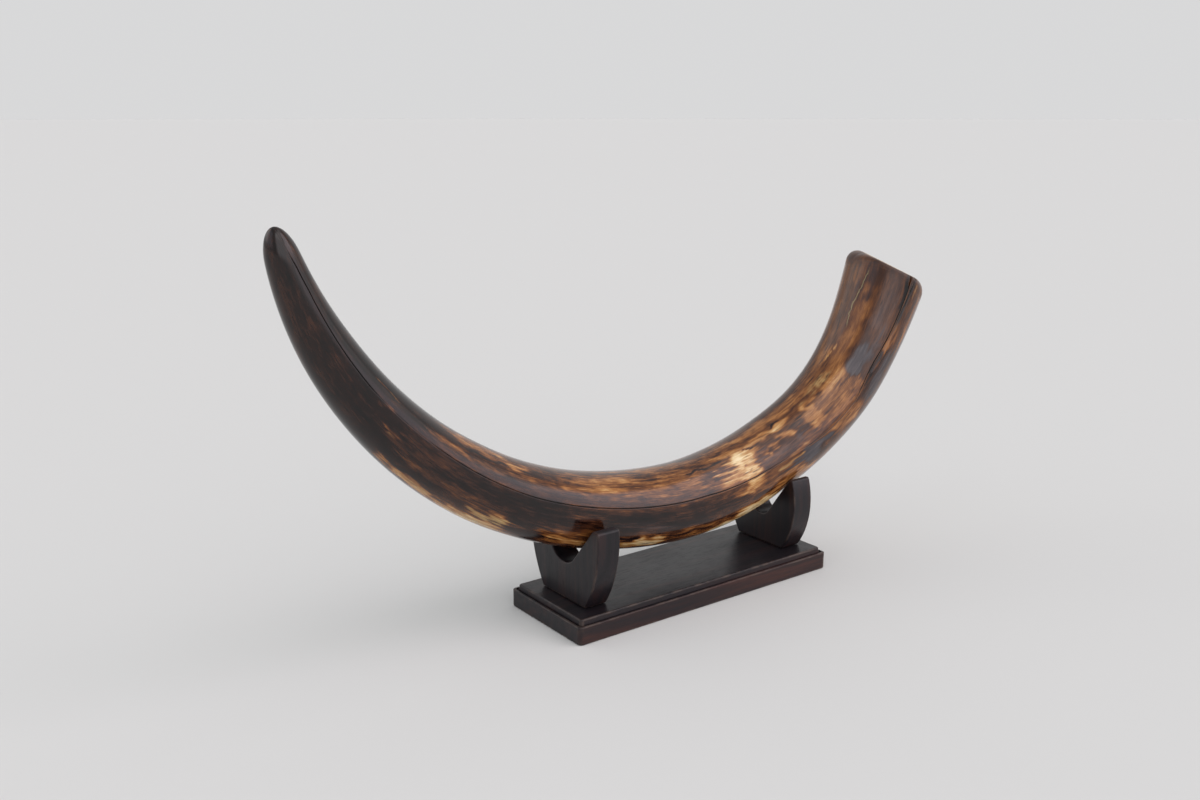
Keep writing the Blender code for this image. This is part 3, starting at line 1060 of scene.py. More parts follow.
@dataclass
class Tusk:
    """The tusk: a tapering bent horn of ivory with a rounded tip and a sawn root."""

    tip_rings: int = 22
    body_rings: int = 424
    run_rings: int = 18
    ease_rings: int = 7
    face_rings: int = 20
    free_ring: float = 0.548  # from here the rings turn gradually into the saw's plane
    spacing: float = radians(1.95)
    tip_calm: Span = (0.003, 0.020)  # the relief dies away towards the tip
    saw_along: float = 0.5828
    saw_lean: float = radians(15)
    saw_rounds: int = 8  # how often the cut is worked out again, each time closer
    rim_wear: float = 0.004
    dish: float = 0.0006
    dish_share: float = 0.35  # how far from the rim, as a share of the radius, the dish deepens
    wear_share: float = 0.12  # how far from the rim the sawn face is worn
    saw_mark: float = 0.00003
    saw_mark_step: float = 2.4
    crack_half_width: float = 0.00020
    crack_depth: float = 0.0006
    mouth_half_width: float = 0.0012
    mouth_depth: float = 0.0034
    mouth_length: float = 0.018
    lip_reach: float = 0.0028  # the crack's lips stand proud and die away over this
    lip_height: float = 0.00024
    split_half_width: float = 0.0007
    split_depth: float = 0.0013
    split_start: Span = (0.495, 0.515)
    split_run_in: float = 0.012
    split_spread: float = 0.12  # how fast the split's lines part before its start
    ground_stain: tuple[float, float, float] = (0.35, 0.05, 0.0)  # tone, slate and olive
    stain_body: Span = (0.5, 1.3)  # a stain fades between these shares of its half size
    hidden_stains: int = 90
    seed: int = 11

    CRACK_STEPS = (0.45, 0.9, 1.4, 2.1, 3.0, 4.2, 5.8)  # degrees from the crack's middle
    # Angles in degrees, and how far the crack is open, at distances along the tusk.
    CRACK_COURSE = Course((
        (0.0, -8.0), (0.010, 3.0), (0.020, 12.0), (0.032, 15.5), (0.060, 13.5), (0.090, 12.0),
        (0.140, 14.5), (0.210, 14.0), (0.260, 16.5), (0.340, 19.0), (0.400, 15.5), (0.420, 13.0),
        (0.435, 8.0), (0.455, 4.5), (0.480, 5.0), (0.490, 10.5), (0.500, 14.5), (0.511, 16.0),
        (0.530, 13.0), (0.560, 11.0), (0.600, 13.5),
    ))
    OPEN_COURSE = Course((
        (0.008, 0.0), (0.018, 1.0), (0.088, 1.0), (0.098, 0.12), (0.134, 0.12), (0.145, 1.0),
        (0.200, 1.0), (0.260, 1.5), (0.350, 1.6), (0.400, 1.2), (0.408, 0.5), (0.424, 0.5),
        (0.432, 1.0), (0.480, 1.2), (0.500, 2.0), (0.575, 2.0),
    ))
    SPLIT_COURSE = Course((
        (0.495, 12.0), (0.515, 11.0), (0.530, 9.0), (0.550, 7.0), (0.565, 4.5), (0.580, 1.5),
    ))
    VEIN_COURSE = Course((
        (0.526, 79.0), (0.535, 82.0), (0.545, 82.0), (0.552, 79.0), (0.560, 76.0), (0.571, 73.0),
    ))
    # Width of the rim's easing at angles round the sawn end, in degrees.
    EASE_COURSE = Course((
        (-180.0, 0.007), (-120.0, 0.011), (-60.0, 0.013), (-15.0, 0.007), (5.0, 0.0022),
        (45.0, 0.0015), (62.0, 0.0024), (74.0, 0.0042), (86.0, 0.0066), (110.0, 0.012),
        (150.0, 0.010), (180.0, 0.007),
    ))
    UNEVENNESS = Waves(0.00012, (0.05, 0.16), 4, 14)
    # How far the stains' outlines stray, in millimetres along the tusk and in degrees round it.
    STRAY_ALONG = Waves(5.0, (0.012, 0.05), 9, 16)
    STRAY_ROUND = Waves(3.0, (0.010, 0.04), 9, 16)
    STRAY_STREAKS = Waves(7.0, (0.018, 0.09), 70, 40)
    # Kinds of stain on the tusk's back, and the spans of their middles, half sizes and strength.
    HIDDEN_KINDS = (Stain.RUST, Stain.UMBER, Stain.TAN, Stain.SOOT, Stain.BROWN, Stain.HONEY,
                    Stain.SLATE, Stain.BROWN, Stain.OLIVE, Stain.UMBER)
    HIDDEN_SPANS = ((150, 590), (95, 275), (8, 30), (5, 18), (0.5, 0.9))

    def __post_init__(self) -> None:
        """Set up the axis, the random source and the surface's unevenness."""
        self.axis = TuskAxis()
        self.random = np.random.default_rng(self.seed)
        self.uneven = self.UNEVENNESS.draw(self.random)

    def build(self, effects: SharedEffects) -> bpy.types.Object:
        """Build the tusk and dress it.

        Args:
            effects: The shared node groups.

        Returns:
            The tusk.
        """
        skin = self._skin()
        mesh = self._mesh(skin.places)
        tone, slate, olive = self._stains(skin.along, skin.angle)
        fields = {
            GRAIN: skin.straight,
            TONE: tone,
            SLATE: slate,
            OLIVE: olive,
            CRACK: self._arc(skin.along, skin.angle, self._crack_angle(skin.along)),
            OPENING: self.OPEN_COURSE.at(skin.along),
            SPLIT: self._split_distance(skin.along, skin.angle),
            VEIN: self._arc(skin.along, skin.angle, np.radians(self.VEIN_COURSE.at(skin.along))),
            EDGE: skin.edge,
            SAWN: skin.sawn,
        }
        for name, values in fields.items():
            ends = np.array([values[0].mean(axis=0), values[-1].mean(axis=0)])
            flat = values.reshape(-1, *values.shape[2:])
            write_field(mesh, name, np.concatenate((flat, ends)))
        tusk = add_piece("polished_tusk", mesh)
        mesh.materials.append(IvoryFinish().build(effects))
        return tusk

    def _round_it(self) -> np.ndarray:
        """Lay out a ring's points, close together near the crack.

        Returns:
            Each point's angle from the crack's middle.
        """
        close = np.radians(self.CRACK_STEPS)
        count = round((2 * pi - 2 * close[-1]) / self.spacing)
        rest = np.linspace(close[-1], 2 * pi - close[-1], count + 1)
        return np.concatenate(([0.0], close, rest[1:-1], 2 * pi - close[::-1]))

    def _skin(self) -> Skin:
        """Lay out every ring: the horn, the run up to the saw, the eased rim and the sawn face.

        Returns:
            The whole surface, ring by ring.
        """
        round_it = self._round_it()
        tip = self.axis.TIP_LENGTH * (1 - np.cos(np.linspace(0, pi / 2, self.tip_rings + 1)[1:]))
        body = np.linspace(self.axis.TIP_LENGTH, self.free_ring, self.body_rings + 1)[1:]
        along = np.repeat(np.concatenate((tip, body))[:, None], len(round_it), axis=1)
        cut = self._cut_along(round_it)
        turn = wrap_turn(np.degrees(self._crack_angle(cut) + round_it), 360)
        ease = self.EASE_COURSE.at(turn)
        share = np.linspace(0, 1, self.run_rings + 1)[1:, None]
        along = np.concatenate((along, self.free_ring + share * (cut - ease - self.free_ring)))
        angle = self._crack_angle(along) + round_it
        places, straight = self._point(along, angle)
        edge = smooth_step(self.rim_wear, 0.0, cut - ease - along)
        horn = Skin(places, straight, along, angle, edge, np.zeros_like(along))
        return horn.joined(self._rim(cut, ease, round_it))

    def _cut_along(self, round_it: np.ndarray) -> np.ndarray:
        """Find where the saw meets each line along the surface.

        Args:
            round_it: Each line's angle from the crack.

        Returns:
            The distance along the tusk at which each line is cut.
        """
        middle, normal = self._saw_plane()
        cut = np.full_like(round_it, self.saw_along)
        for _ in range(self.saw_rounds):
            places, _ = self._point(cut, self._crack_angle(cut) + round_it)
            cut = cut - (places - middle) @ normal / cos(self.saw_lean)
        return cut

    def _saw_plane(self) -> tuple[np.ndarray, np.ndarray]:
        """Middle and outward normal of the sawn face."""
        centre, _, direction, _ = self.axis.frame(self.saw_along)
        return centre, direction * cos(self.saw_lean) + np.array((0, -sin(self.saw_lean), 0))

    def _rim(self, cut: np.ndarray, ease: np.ndarray, round_it: np.ndarray) -> Skin:
        """Shape the eased rim and the sawn face.

        Args:
            cut: Where each line is cut.
            ease: Width of the rim's easing on each line.
            round_it: Each line's angle from the crack.

        Returns:
            The rings from the rim to near the face's middle.
        """
        middle, normal = self._saw_plane()
        angle = self._crack_angle(cut) + round_it
        rim, _ = self._point(cut, angle)
        before, _ = self._point(cut - ease, self._crack_angle(cut - ease) + round_it)
        run = (rim - before) / ease[:, None]
        inward = middle - rim
        inward /= np.linalg.norm(inward, axis=1, keepdims=True)
        rows = []  # each ring's points, its edge value and its sawn value
        for step in range(1, self.ease_rings + 1):
            turn = step / self.ease_rings * pi / 2
            back = run * (ease * (1 - sin(turn)))[:, None]
            rows.append((rim - back + inward * (ease * (1 - cos(turn)))[:, None], 1.0,
                         float(step == self.ease_rings)))
        outline = rows[-1][0]
        for step in range(1, self.face_rings):
            share = step / self.face_rings
            sink = self.dish * smooth_step(0.0, self.dish_share, share)
            sink += self.saw_mark * sin(step * self.saw_mark_step)
            rows.append((outline + (middle - outline) * share - normal * sink,
                         smooth_step(self.wear_share, 0.0, share), 1.0))
        places = np.array([row[0] for row in rows])
        reach = np.linalg.norm(places - middle, axis=2)
        cuts, angles = np.broadcast_to(cut, reach.shape), np.broadcast_to(angle, reach.shape)
        straight = np.stack((cuts, reach * np.cos(angles), reach * np.sin(angles)), axis=-1)
        edge, sawn = (
            np.repeat(np.array([[row[column]] for row in rows]), reach.shape[1], axis=1)
            for column in (1, 2)
        )
        return Skin(places, straight, cuts, angles, edge, sawn)

    def _crack_angle(self, along: np.ndarray) -> np.ndarray:
        """Angle of the crack's middle at distances along the tusk."""
        return np.radians(self.CRACK_COURSE.at(along))

    def _arc(self, along: np.ndarray, angle: np.ndarray, middle: np.ndarray) -> np.ndarray:
        """Arc to points from a line along the tusk at angles middle, positive above the line."""
        return wrap_turn(angle - middle) * self.axis.frame(along)[1]

    def _split_distance(self, along: np.ndarray, angle: np.ndarray) -> np.ndarray:
        """Find how far points are from the split.

        Args:
            along: Distances along the tusk.
            angle: Angles round it.

        Returns:
            The arc from its middle, widened by how far a point is short of its start.
        """
        arc = self._arc(along, angle, np.radians(self.SPLIT_COURSE.at(along)))
        short = np.clip(self.split_start[0] + self.split_run_in - along, 0, None)
        return arc + np.sign(arc) * short * self.split_spread

    def _relief(self, along: np.ndarray, angle: np.ndarray) -> np.ndarray:
        """Find the height of the surface over the plain taper: unevenness less the cracks.

        Args:
            along: Distances along the tusk.
            angle: Angles round it.

        Returns:
            The height at each point.
        """
        mouth = smooth_step(self.saw_along - self.mouth_length, self.saw_along, along)
        away = np.abs(self._arc(along, angle, self._crack_angle(along)))
        width = self.crack_half_width + (self.mouth_half_width - self.crack_half_width) * mouth
        depth = self.crack_depth + (self.mouth_depth - self.crack_depth) * mouth
        opening = self.OPEN_COURSE.at(along)
        groove = depth * np.exp(-(away / width) ** 2) * opening
        lips = self.lip_height * np.exp(-away / self.lip_reach) * (0.5 + 0.5 * opening)
        beside = self._split_distance(along, angle) / self.split_half_width
        split = self.split_depth * np.exp(-beside ** 2) * smooth_step(*self.split_start, along)
        uneven = self.UNEVENNESS.add_up(self.uneven, along, angle)
        return (uneven + lips - groove - split) * smooth_step(*self.tip_calm, along)

    def _point(self, along: np.ndarray, angle: np.ndarray) -> tuple[np.ndarray, np.ndarray]:
        """Place points on the tusk.

        Args:
            along: Distances along the tusk.
            angle: Angles round it.

        Returns:
            The points, and the same points as if the tusk were straight.
        """
        centre, radius, _, inner = self.axis.frame(along)
        front = np.array((0.0, -1.0, 0.0))
        out = front * np.cos(angle)[..., None] + inner * np.sin(angle)[..., None]
        reach = radius + self._relief(along, angle)
        straight = np.stack((along, reach * np.cos(angle), reach * np.sin(angle)), axis=-1)
        return centre + out * reach[..., None], straight

    def _mesh(self, places: np.ndarray) -> bpy.types.Mesh:
        """Join the rings into one closed mesh.

        Args:
            places: The points, ring by ring.

        Returns:
            The mesh, smooth shaded.
        """
        rings, count, _ = places.shape
        tip, _, _, _ = self.axis.frame(0.0)
        points = np.concatenate((places.reshape(-1, 3), [tip, places[-1].mean(axis=0)]))
        index = np.arange(rings * count).reshape(rings, count)
        beside = np.roll(index, -1, axis=1)
        quads = np.stack((index[:-1], beside[:-1], beside[1:], index[1:]), axis=-1).reshape(-1, 4)
        first, last = rings * count, rings * count + 1
        caps = [(first, int(beside[0, i]), int(index[0, i])) for i in range(count)]
        caps += [(last, int(index[-1, i]), int(beside[-1, i])) for i in range(count)]
        mesh = bpy.data.meshes.new("polished_tusk")
        mesh.from_pydata(points.tolist(), [], quads.tolist() + caps)
        mesh.update()
        mesh.shade_smooth()
        return mesh

    def _stains(self, along: np.ndarray, angle: np.ndarray) -> tuple[np.ndarray, ...]:
        """Paint the stains, and the few patches of painted sheen among them, one over another.

        Args:
            along: Distances along the tusk.
            angle: Angles round it.

        Returns:
            The tone, and how slate and how olive each point is.
        """
        fields = [np.full_like(along, value) for value in self.ground_stain]
        shift_along, shift_round, shift_streaks = (
            waves.add_up(waves.draw(self.random), along, angle)
            for waves in (self.STRAY_ALONG, self.STRAY_ROUND, self.STRAY_STREAKS)
        )
        millimetres = along * 1000 + (shift_along + shift_streaks)
        degrees = np.degrees(angle) + shift_round
        for stain, middle, turn, length, width, strength in (*self._hidden_stains(), *STAINS):
            across = wrap_turn(degrees - turn, 360)
            away = np.hypot((millimetres - middle) / length, across / width)
            mask = strength * (1 - smooth_step(*self.stain_body, away))
            for field, value in zip(fields, stain.value):
                field += (value - field) * mask
        return tuple(fields)

    def _hidden_stains(self) -> list[tuple]:
        """Scatter stains over the tusk's back, in the same manner as on its front.

        Returns:
            The stains, in rows like those of STAINS.
        """
        kinds = (self.HIDDEN_KINDS[i % len(self.HIDDEN_KINDS)] for i in range(self.hidden_stains))
        return [
            (kind, *(self.random.uniform(*span) for span in self.HIDDEN_SPANS)) for kind in kinds
        ]


# ---------------------------------------------------------------------------------------------
# The stand


def round_corner(before: Vector, corner: Vector, after: Vector, radius: float,
                 steps: int) -> list[Vector]:
    """Round a corner between two straight edges.

    Args:
        before: A point on the edge that leads to the corner.
        corner: The corner.
        after: A point on the edge that leaves it.
        radius: Radius of the rounding.
        steps: Number of straight steps in the arc.

    Returns:
        The arc's points.
    """
    back = (before - corner).normalized()
    ahead = (after - corner).normalized()
    half = back.angle(ahead) / 2
    centre = corner + (back + ahead).normalized() * radius / sin(half)
    start = corner + back * radius / tan(half) - centre
    end = corner + ahead * radius / tan(half) - centre
    turn = -start.angle_signed(end)
    points = []
    for i in range(steps + 1):
        angle = turn * i / steps
        points.append(centre + Vector((
            start.x * cos(angle) - start.y * sin(angle),
            start.x * sin(angle) + start.y * cos(angle),
        )))
    return points


@dataclass(kw_only=True)
class Board:
    """What every board of the stand shares: its arrises, its skin and its finish."""

    arris: float = 0.0007
    arris_steps: int = 3
    arris_strip: float = 0.00045  # width of the strip beside an arris over which the wearing and painted highlight fade
    sharp: float = radians(28)  # edges sharper than this are eased
    crease: float = radians(35)  # edges sharper than this break the shading

    def ease(self, bm: bmesh.types.BMesh) -> np.ndarray:
        """Round a board's sharp arrises and set off from its faces the strips beside them, where
        the wearing and painted highlight fade.

        Args:
            bm: The board with sharp edges.

        Returns:
            1 at the arrises' vertices and 0 at the others.
        """
        bmesh.ops.recalc_face_normals(bm, faces=bm.faces)
        sharp = [edge for edge in bm.edges if edge.calc_face_angle(0) > self.sharp]
        eased = bmesh.ops.bevel(
            bm, geom=sharp, offset=self.arris, segments=self.arris_steps, profile=0.5,
            affect="EDGES",
        )
        rounded = set(eased["faces"])
        broad = [face for face in bm.faces if face not in rounded]
        bmesh.ops.inset_region(
            bm, faces=broad, thickness=self.arris_strip, use_boundary=True, use_even_offset=True,
        )
        bm.verts.index_update()
        edge = np.zeros(len(bm.verts))
        edge[sorted({vert.index for face in rounded for vert in face.verts})] = 1.0
        return edge

    def dress(self, name: str, bm: bmesh.types.BMesh, grain: tuple[int, int, int],
              edge: np.ndarray, bare: np.ndarray,
              material: bpy.types.Material) -> bpy.types.Object:
        """Turn a finished board into a piece.

        Args:
            name: The piece's name.
            bm: The board.
            grain: The board's axes, with the one that its grain follows first.
            edge: How close each vertex is to an arris, from 0 to 1.
            bare: How much painted light lifts the tone at each vertex, from 0 to 1.
            material: The wood.

        Returns:
            The board.
        """
        mesh = bpy.data.meshes.new(name)
        bm.to_mesh(mesh)
        bm.free()
        mesh.shade_smooth()
        mesh.set_sharp_from_angle(angle=self.crease)
        places = np.array([vertex.co for vertex in mesh.vertices])
        write_field(mesh, GRAIN, places[:, grain])
        write_field(mesh, EDGE, edge)
        write_field(mesh, PAINTED_LIGHT, bare)
        mesh.materials.append(material)
        return add_piece(name, mesh)


@dataclass
class Base(Board):
    """The base board: a plinth with a raised field, grooved all round, worked from one piece."""

    length: float = 0.200
    width: float = 0.072
    height: float = 0.0143
    plinth_height: float = 0.0112
    margin: float = 0.0014
    groove_depth: float = 0.0009
    groove_width: float = 0.0010
    outer_draft: float = 0.0002  # how far the groove's outer side leans out
    inner_draft: float = 0.0001
    lean: float = 0.0006  # how far the field's side leans in
    foot_radius: float = 0.0010
    plinth_radius: float = 0.0006
    field_radius: float = 0.0008
    corner_radius: float = 0.0026
    least_corner_radius: float = 0.0008
    corner_share: float = 0.25  # how much tighter a corner gets, as a share of the level's inset
    corner_steps: int = 5
    arc_steps: int = 4

    def _outline(self, inset: float) -> list[tuple[Vector, float, float]]:
        """Draw the outline of one level, with its upright corners rounded.

        Args:
            inset: How far the level stands in from the base's sides.

        Returns:
            Its points, each with how close it is to an upright arris and how much painted light
            lifts its tone.
        """
        x, y = self.length / 2 - inset, self.width / 2 - inset
        radius = max(self.corner_radius - inset * self.corner_share, self.least_corner_radius)
        corners = [Vector(place) for place in ((-x, -y), (x, -y), (x, y), (-x, y))]
        points = []
        for i, corner in enumerate(corners):
            before, after = corners[i - 1], corners[(i + 1) % 4]
            arc = round_corner(before, corner, after, radius, self.corner_steps)
            start = arc[0] + (before - corner).normalized() * self.arris_strip
            end = arc[-1] + (after - corner).normalized() * self.arris_strip
            bare = np.linspace(i % 2, 1 - i % 2, len(arc))  # painted light lifts the long sides alone
            points.append((start, 0.0, bare[0]))
            points += [(point, 1.0, share) for point, share in zip(arc, bare)]
            points.append((end, 0.0, bare[-1]))
        return points

    def _profile(self) -> list[tuple[float, float, float, float]]:
        """Draw the moulding from the foot up.

        Returns:
            For each level its inset, its height, its wearing and painted highlight, and how much
            painted light lifts its tone.
        """
        turns = np.linspace(0, pi / 2, self.arc_steps + 1)
        foot, plinth, field = self.foot_radius, self.plinth_radius, self.field_radius
        top, floor = self.plinth_height, self.plinth_height - self.groove_depth
        side = self.margin + self.groove_width
        levels = [(foot * (1 - sin(t)), foot * (1 - cos(t)), 1.0, 1.0) for t in turns]
        levels += [(0.0, foot + self.arris_strip, 0.0, 1.0), (0.0, top - plinth - self.arris_strip, 0.0, 1.0)]
        levels += [(plinth * (1 - cos(t)), top - plinth * (1 - sin(t)), 1.0, 1.0) for t in turns]
        levels += [
            # the margin's arris carries wearing and a painted highlight
            (self.margin, top, 0.6, 0.5),
            (self.margin + self.outer_draft, floor, 0.0, 0.0),
            (side, floor, 0.0, 0.2),
            (side + self.inner_draft, top, 0.0, 0.9),
        ]
        side += self.lean
        levels.append((side, self.height - field - self.arris_strip, 0.0, 0.9))
        levels += [(side + field * (1 - cos(t)), self.height - field * (1 - sin(t)), 1.0, 0.7)
                   for t in turns]
        levels.append((side + field + self.arris_strip * 1.5, self.height, 0.0, 0.0))
        return levels

    def build(self, material: bpy.types.Material) -> bpy.types.Object:
        """Build the base and dress it.

        Args:
            material: The wood.

        Returns:
            The base.
        """
        bm = bmesh.new()
        rings, edge, bare = [], [], []
        for inset, height, wear_and_highlight, light_lift in self._profile():
            outline = self._outline(inset)
            rings.append([bm.verts.new((*point, height)) for point, _, _ in outline])
            edge += [max(wear_and_highlight, corner * (light_lift > 0)) for _, corner, _ in outline]
            bare += [light_lift * share for _, _, share in outline]
        count = len(rings[0])
        for lower, upper in zip(rings, rings[1:]):
            for i in range(count):
                j = (i + 1) % count
                bm.faces.new((lower[i], lower[j], upper[j], upper[i]))
        bm.faces.new(rings[0])
        bm.faces.new(rings[-1])
        bmesh.ops.recalc_face_normals(bm, faces=bm.faces)
        edge, bare = np.array(edge), np.array(bare)
        return self.dress("stepped_base", bm, (0, 1, 2), edge, bare, material)


@dataclass
class Cradle(Board):
    """An upright board that swells from a narrow foot, with a rounded V notch at its top."""

    name: str
    x: float
    top: float
    foot_half_width: float
    half_width: float
    widest_height: float
    notch_slope: float
    notch_radius: float
    thickness: float = 0.0155
    outer_radius: float = 0.0016
    outer_steps: int = 8
    inner_radius: float = 0.0012
    inner_steps: int = 6
    notch_steps: int = 28
    flank_steps: int = 36

    # Where the tusk's underside is sampled: how far along, and the steps along and round it.
    SAMPLED_TO = 0.58
    SAMPLE_STEP = 0.001
    SAMPLE_TURN = 1.5

    def _notch_root(self, axis: TuskAxis) -> float:
        """Find the height where the notch's slopes would meet.

        Args:
            axis: The tusk's axis.

        Returns:
            The height at which both slopes just clear the tusk.
        """
        along, angle = np.meshgrid(
            np.arange(axis.TIP_LENGTH, self.SAMPLED_TO, self.SAMPLE_STEP),
            np.radians(np.arange(-180, 1, self.SAMPLE_TURN)),
            indexing="ij",
        )
        centre, radius, _, inner = axis.frame(along)
        x = centre[..., 0] + inner[..., 0] * np.sin(angle) * radius
        y = -np.cos(angle) * radius
        z = centre[..., 2] + inner[..., 2] * np.sin(angle) * radius
        over = np.abs(x - self.x) <= self.thickness / 2
        lowest = (z - np.abs(y) * tan(self.notch_slope))[over].min()
        return float(lowest) - GAP / cos(self.notch_slope)

    def _outline(self, foot: float, root: float) -> list[Vector]:
        """Draw the board's outline in Y and Z.

        Args:
            foot: Height of its foot.
            root: Height where the notch's slopes would meet.

        Returns:
            The outline's points, anticlockwise from the foot.
        """
        drop = self.widest_height - foot
        narrowing = self.half_width - self.foot_half_width
        flank_radius = (drop ** 2 + narrowing ** 2) / (2 * narrowing)
        middle = self.half_width - flank_radius
        flank = []
        for height in np.linspace(foot, self.top, self.flank_steps):
            rise = height - self.widest_height
            flank.append(Vector((middle + (flank_radius ** 2 - rise ** 2) ** 0.5, height)))
        outer = flank.pop()
        while (outer - flank[-1]).length < self.outer_radius * 1.2:
            flank.pop()  # the rounding takes this point's place
        inner = Vector(((self.top - root) / tan(self.notch_slope), self.top))
        bottom = Vector((0.0, root))
        half = [
            *flank,
            *round_corner(flank[-1], outer, inner, self.outer_radius, self.outer_steps),
            *round_corner(outer, inner, bottom, self.inner_radius, self.inner_steps),
        ]
        mirror = Vector((-inner.x, inner.y))
        notch = round_corner(inner, bottom, mirror, self.notch_radius, self.notch_steps)
        return half + notch + [Vector((-point.x, point.y)) for point in reversed(half)]

    def build(self, base: Base, axis: TuskAxis, material: bpy.types.Material) -> bpy.types.Object:
        """Build the cradle and dress it.

        Args:
            base: The base that it stands on.
            axis: The tusk's axis.
            material: The wood.

        Returns:
            The cradle.
        """
        outline = self._outline(base.height + GAP, self._notch_root(axis))
        bm = bmesh.new()
        back = self.x - self.thickness / 2
        face = bm.faces.new([bm.verts.new((back, *point)) for point in outline])
        extruded = bmesh.ops.extrude_face_region(bm, geom=[face])
        moved = [item for item in extruded["geom"] if isinstance(item, bmesh.types.BMVert)]
        bmesh.ops.translate(bm, verts=moved, vec=(self.thickness, 0, 0))
        edge = self.ease(bm)
        return self.dress(self.name, bm, (2, 1, 0), edge, np.zeros(len(edge)), material)


# ---------------------------------------------------------------------------------------------
# The studio


@dataclass(frozen=True)
class Panel:
    """A soft-edged patch of light in the studio's surroundings.

    Angles are in degrees. Azimuth turns from the front towards the right, and a leaning panel's
    azimuth grows with elevation.
    """

    azimuth: float
    elevation: float
    half_width: float
    half_height: float
    radiance: float
    colour: Colour
    lean: float
    side_softness: float
    end_softness: float

    def mask(self, graph: Graph, azimuth: Socket, elevation: Socket) -> Socket:
        """Find how much of the panel shows in a direction.

        Args:
            graph: The world's tree.
            azimuth: The direction's azimuth.
            elevation: The direction's elevation.

        Returns:
            1 inside the panel, easing to 0 outside it.
        """
        middle = graph.math("MULTIPLY_ADD", elevation, self.lean, self.azimuth)
        turn = graph.math("WRAP", graph.math("SUBTRACT", azimuth, middle), 180.0, -180.0)
        aside = graph.size(turn)
        above = graph.size(graph.math("SUBTRACT", elevation, self.elevation))
        across = graph.fade(aside, self.half_width - self.side_softness,
                            self.half_width + self.side_softness)
        along = graph.fade(above, self.half_height - self.end_softness,
                           self.half_height + self.end_softness)
        return graph.product(across, along)


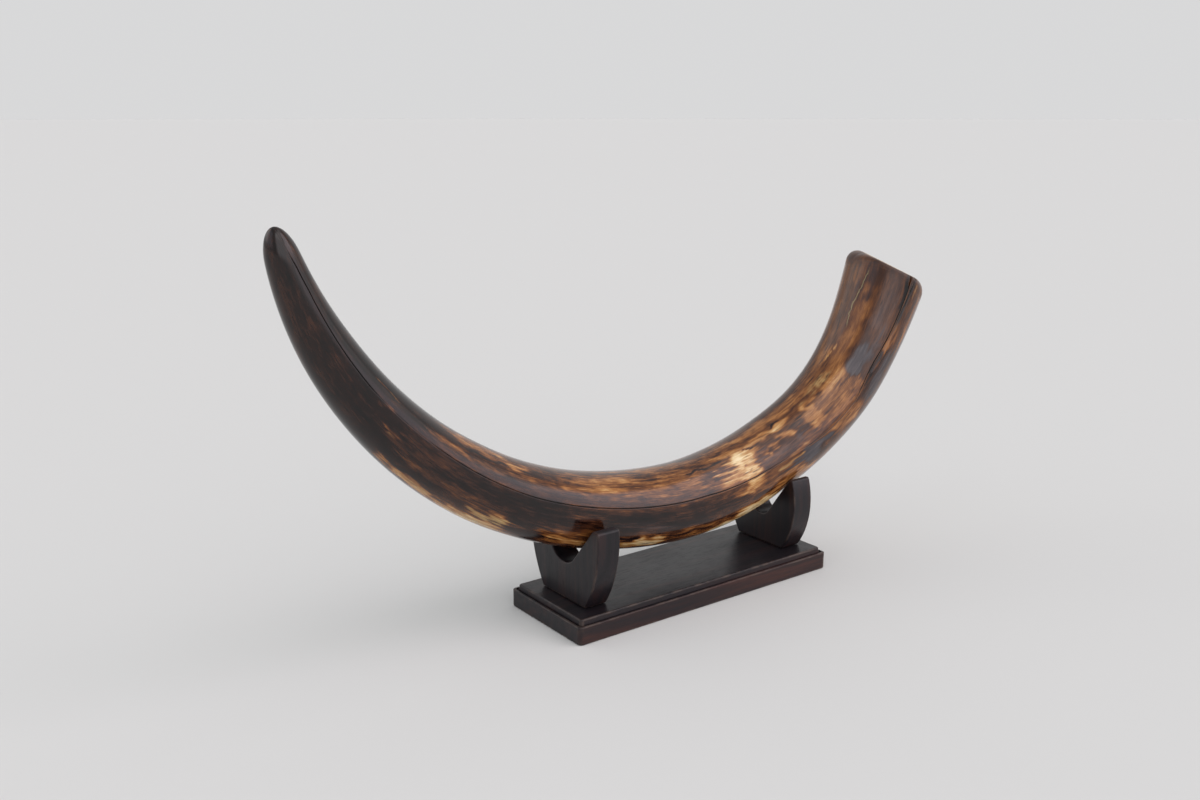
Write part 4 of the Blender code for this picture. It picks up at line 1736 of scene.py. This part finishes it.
@dataclass(frozen=True)
class Studio:
    """A wide pale floor under soft light from panels all round, and the camera."""

    floor_radius: float = 60.0
    floor_segments: int = 128
    ambient: Colour = (0.48, 0.485, 0.49)
    backdrop: Colour = (0.690, 0.690, 0.695)
    panels: tuple[Panel, ...] = (
        Panel(39.0, 30.0, 18.0, 28.0, 1.65, (1.0, 0.91, 0.97), 0.25, 4.0, 1.5),
        Panel(39.0, 38.0, 18.0, 20.0, 1.42, (1.0, 0.95, 0.98), 0.25, 4.0, 10.0),
        Panel(-10.0, 33.0, 33.0, 31.0, 1.65, (1.0, 0.96, 0.98), 0.10, 9.0, 7.0),
        Panel(-8.0, 52.0, 30.0, 12.0, 0.95, (1.0, 1.0, 1.0), 0.0, 9.0, 6.0),
        Panel(40.0, 67.0, 62.0, 9.0, 1.35, (1.0, 1.0, 1.0), 0.0, 12.0, 7.0),
        Panel(69.0, 18.0, 9.0, 9.0, 1.15, (1.0, 1.0, 1.0), 0.0, 5.0, 5.0),
        Panel(116.0, 14.0, 32.0, 24.0, 0.78, (1.0, 1.0, 1.0), 0.0, 8.0, 8.0),
        Panel(-142.0, 28.0, 24.0, 18.0, 1.35, (1.0, 1.0, 1.0), 0.0, 10.0, 8.0),
        Panel(-100.0, 32.0, 30.0, 24.0, 0.95, (0.92, 0.96, 1.06), 0.0, 10.0, 8.0),
    )
    lens: float = 35.0
    sensor_width: float = 36.0
    camera_place: tuple[float, float, float] = (-0.4521, -0.5315, 0.2937)
    camera_pitch: float = radians(90 - 13.831)
    camera_turn: float = radians(-36.463)

    def build(self) -> None:
        """Build the floor, the light and the camera."""
        self._build_floor()
        self._build_world()
        self._build_camera()

    def _build_floor(self) -> None:
        """Build the floor as a wide disc."""
        bm = bmesh.new()
        bmesh.ops.create_circle(
            bm, cap_ends=True, segments=self.floor_segments, radius=self.floor_radius,
        )
        mesh = bpy.data.meshes.new("studio_floor")
        bm.to_mesh(mesh)
        bm.free()
        mesh.materials.append(StudioFinish().build())
        add_piece("studio_floor", mesh)

    def _build_world(self) -> None:
        """Light the studio from all round, with the panels kept out of the camera's sight."""
        scene = bpy.context.scene
        world = bpy.data.worlds.new("studio")
        scene.world = world
        world.use_nodes = True
        graph = Graph(world.node_tree)
        direction = graph.add("ShaderNodeTexCoord").outputs["Generated"]
        axes = graph.add("ShaderNodeSeparateXYZ", {0: direction}).outputs
        back = graph.product(axes[1], -1.0)
        azimuth = graph.math("DEGREES", graph.math("ARCTAN2", axes[0], back))
        elevation = graph.math("DEGREES", graph.math("ARCSINE", axes[2]))
        light: object = self.ambient
        for panel in self.panels:
            mask = panel.mask(graph, azimuth, elevation)
            extra = tuple(
                part * panel.radiance - rest for part, rest in zip(panel.colour, self.ambient)
            )
            light = graph.vector("MULTIPLY_ADD", mask, extra, light)
        seen = graph.add("ShaderNodeLightPath").outputs["Is Camera Ray"]
        colour = graph.mix(seen, light, self.backdrop)
        graph.feed(world.node_tree.nodes["Background"], {"Color": colour})
        scene.view_settings.view_transform = "Standard"

    def _build_camera(self) -> None:
        """Place the camera to the front left, a little above the object."""
        data = bpy.data.cameras.new("camera")
        data.lens = self.lens
        data.sensor_width = self.sensor_width
        camera = bpy.data.objects.new("camera", data)
        camera.location = self.camera_place
        camera.rotation_euler = (self.camera_pitch, 0.0, self.camera_turn)
        bpy.context.scene.collection.objects.link(camera)
        bpy.context.scene.camera = camera


def place_in_frame(piece: bpy.types.Object, node: str) -> None:
    """Let a piece stand for a part of the model and report it.

    Args:
        piece: The finished piece.
        node: The part that it stands for.
    """
    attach(piece, "root")
    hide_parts(node)
    LOG.info("%s: %d faces", piece.name, len(piece.data.polygons))


def main() -> None:
    """Build the tusk, its stand and the studio."""
    logging.basicConfig(level=logging.INFO, format="%(name)s %(message)s")
    effects = SharedEffects()
    tusk = Tusk()
    place_in_frame(tusk.build(effects), "tusk")
    wood = WoodFinish().build(effects)
    base = Base()
    place_in_frame(base.build(wood), "base")
    cradles = {
        "cradle_tip_end": Cradle(
            name="cradle_under_tip_half", x=-0.0785, top=0.0640, foot_half_width=0.0215,
            half_width=0.0348, widest_height=0.058, notch_slope=radians(50),
            notch_radius=0.0135,
        ),
        "cradle_root_end": Cradle(
            name="cradle_under_root_half", x=0.0820, top=0.0630, foot_half_width=0.0205,
            half_width=0.0306, widest_height=0.046, notch_slope=radians(54.5),
            notch_radius=0.0085,
        ),
    }
    for node, cradle in cradles.items():
        place_in_frame(cradle.build(base, tusk.axis, wood), node)
    Studio().build()


if __name__ == "__main__":
    main()
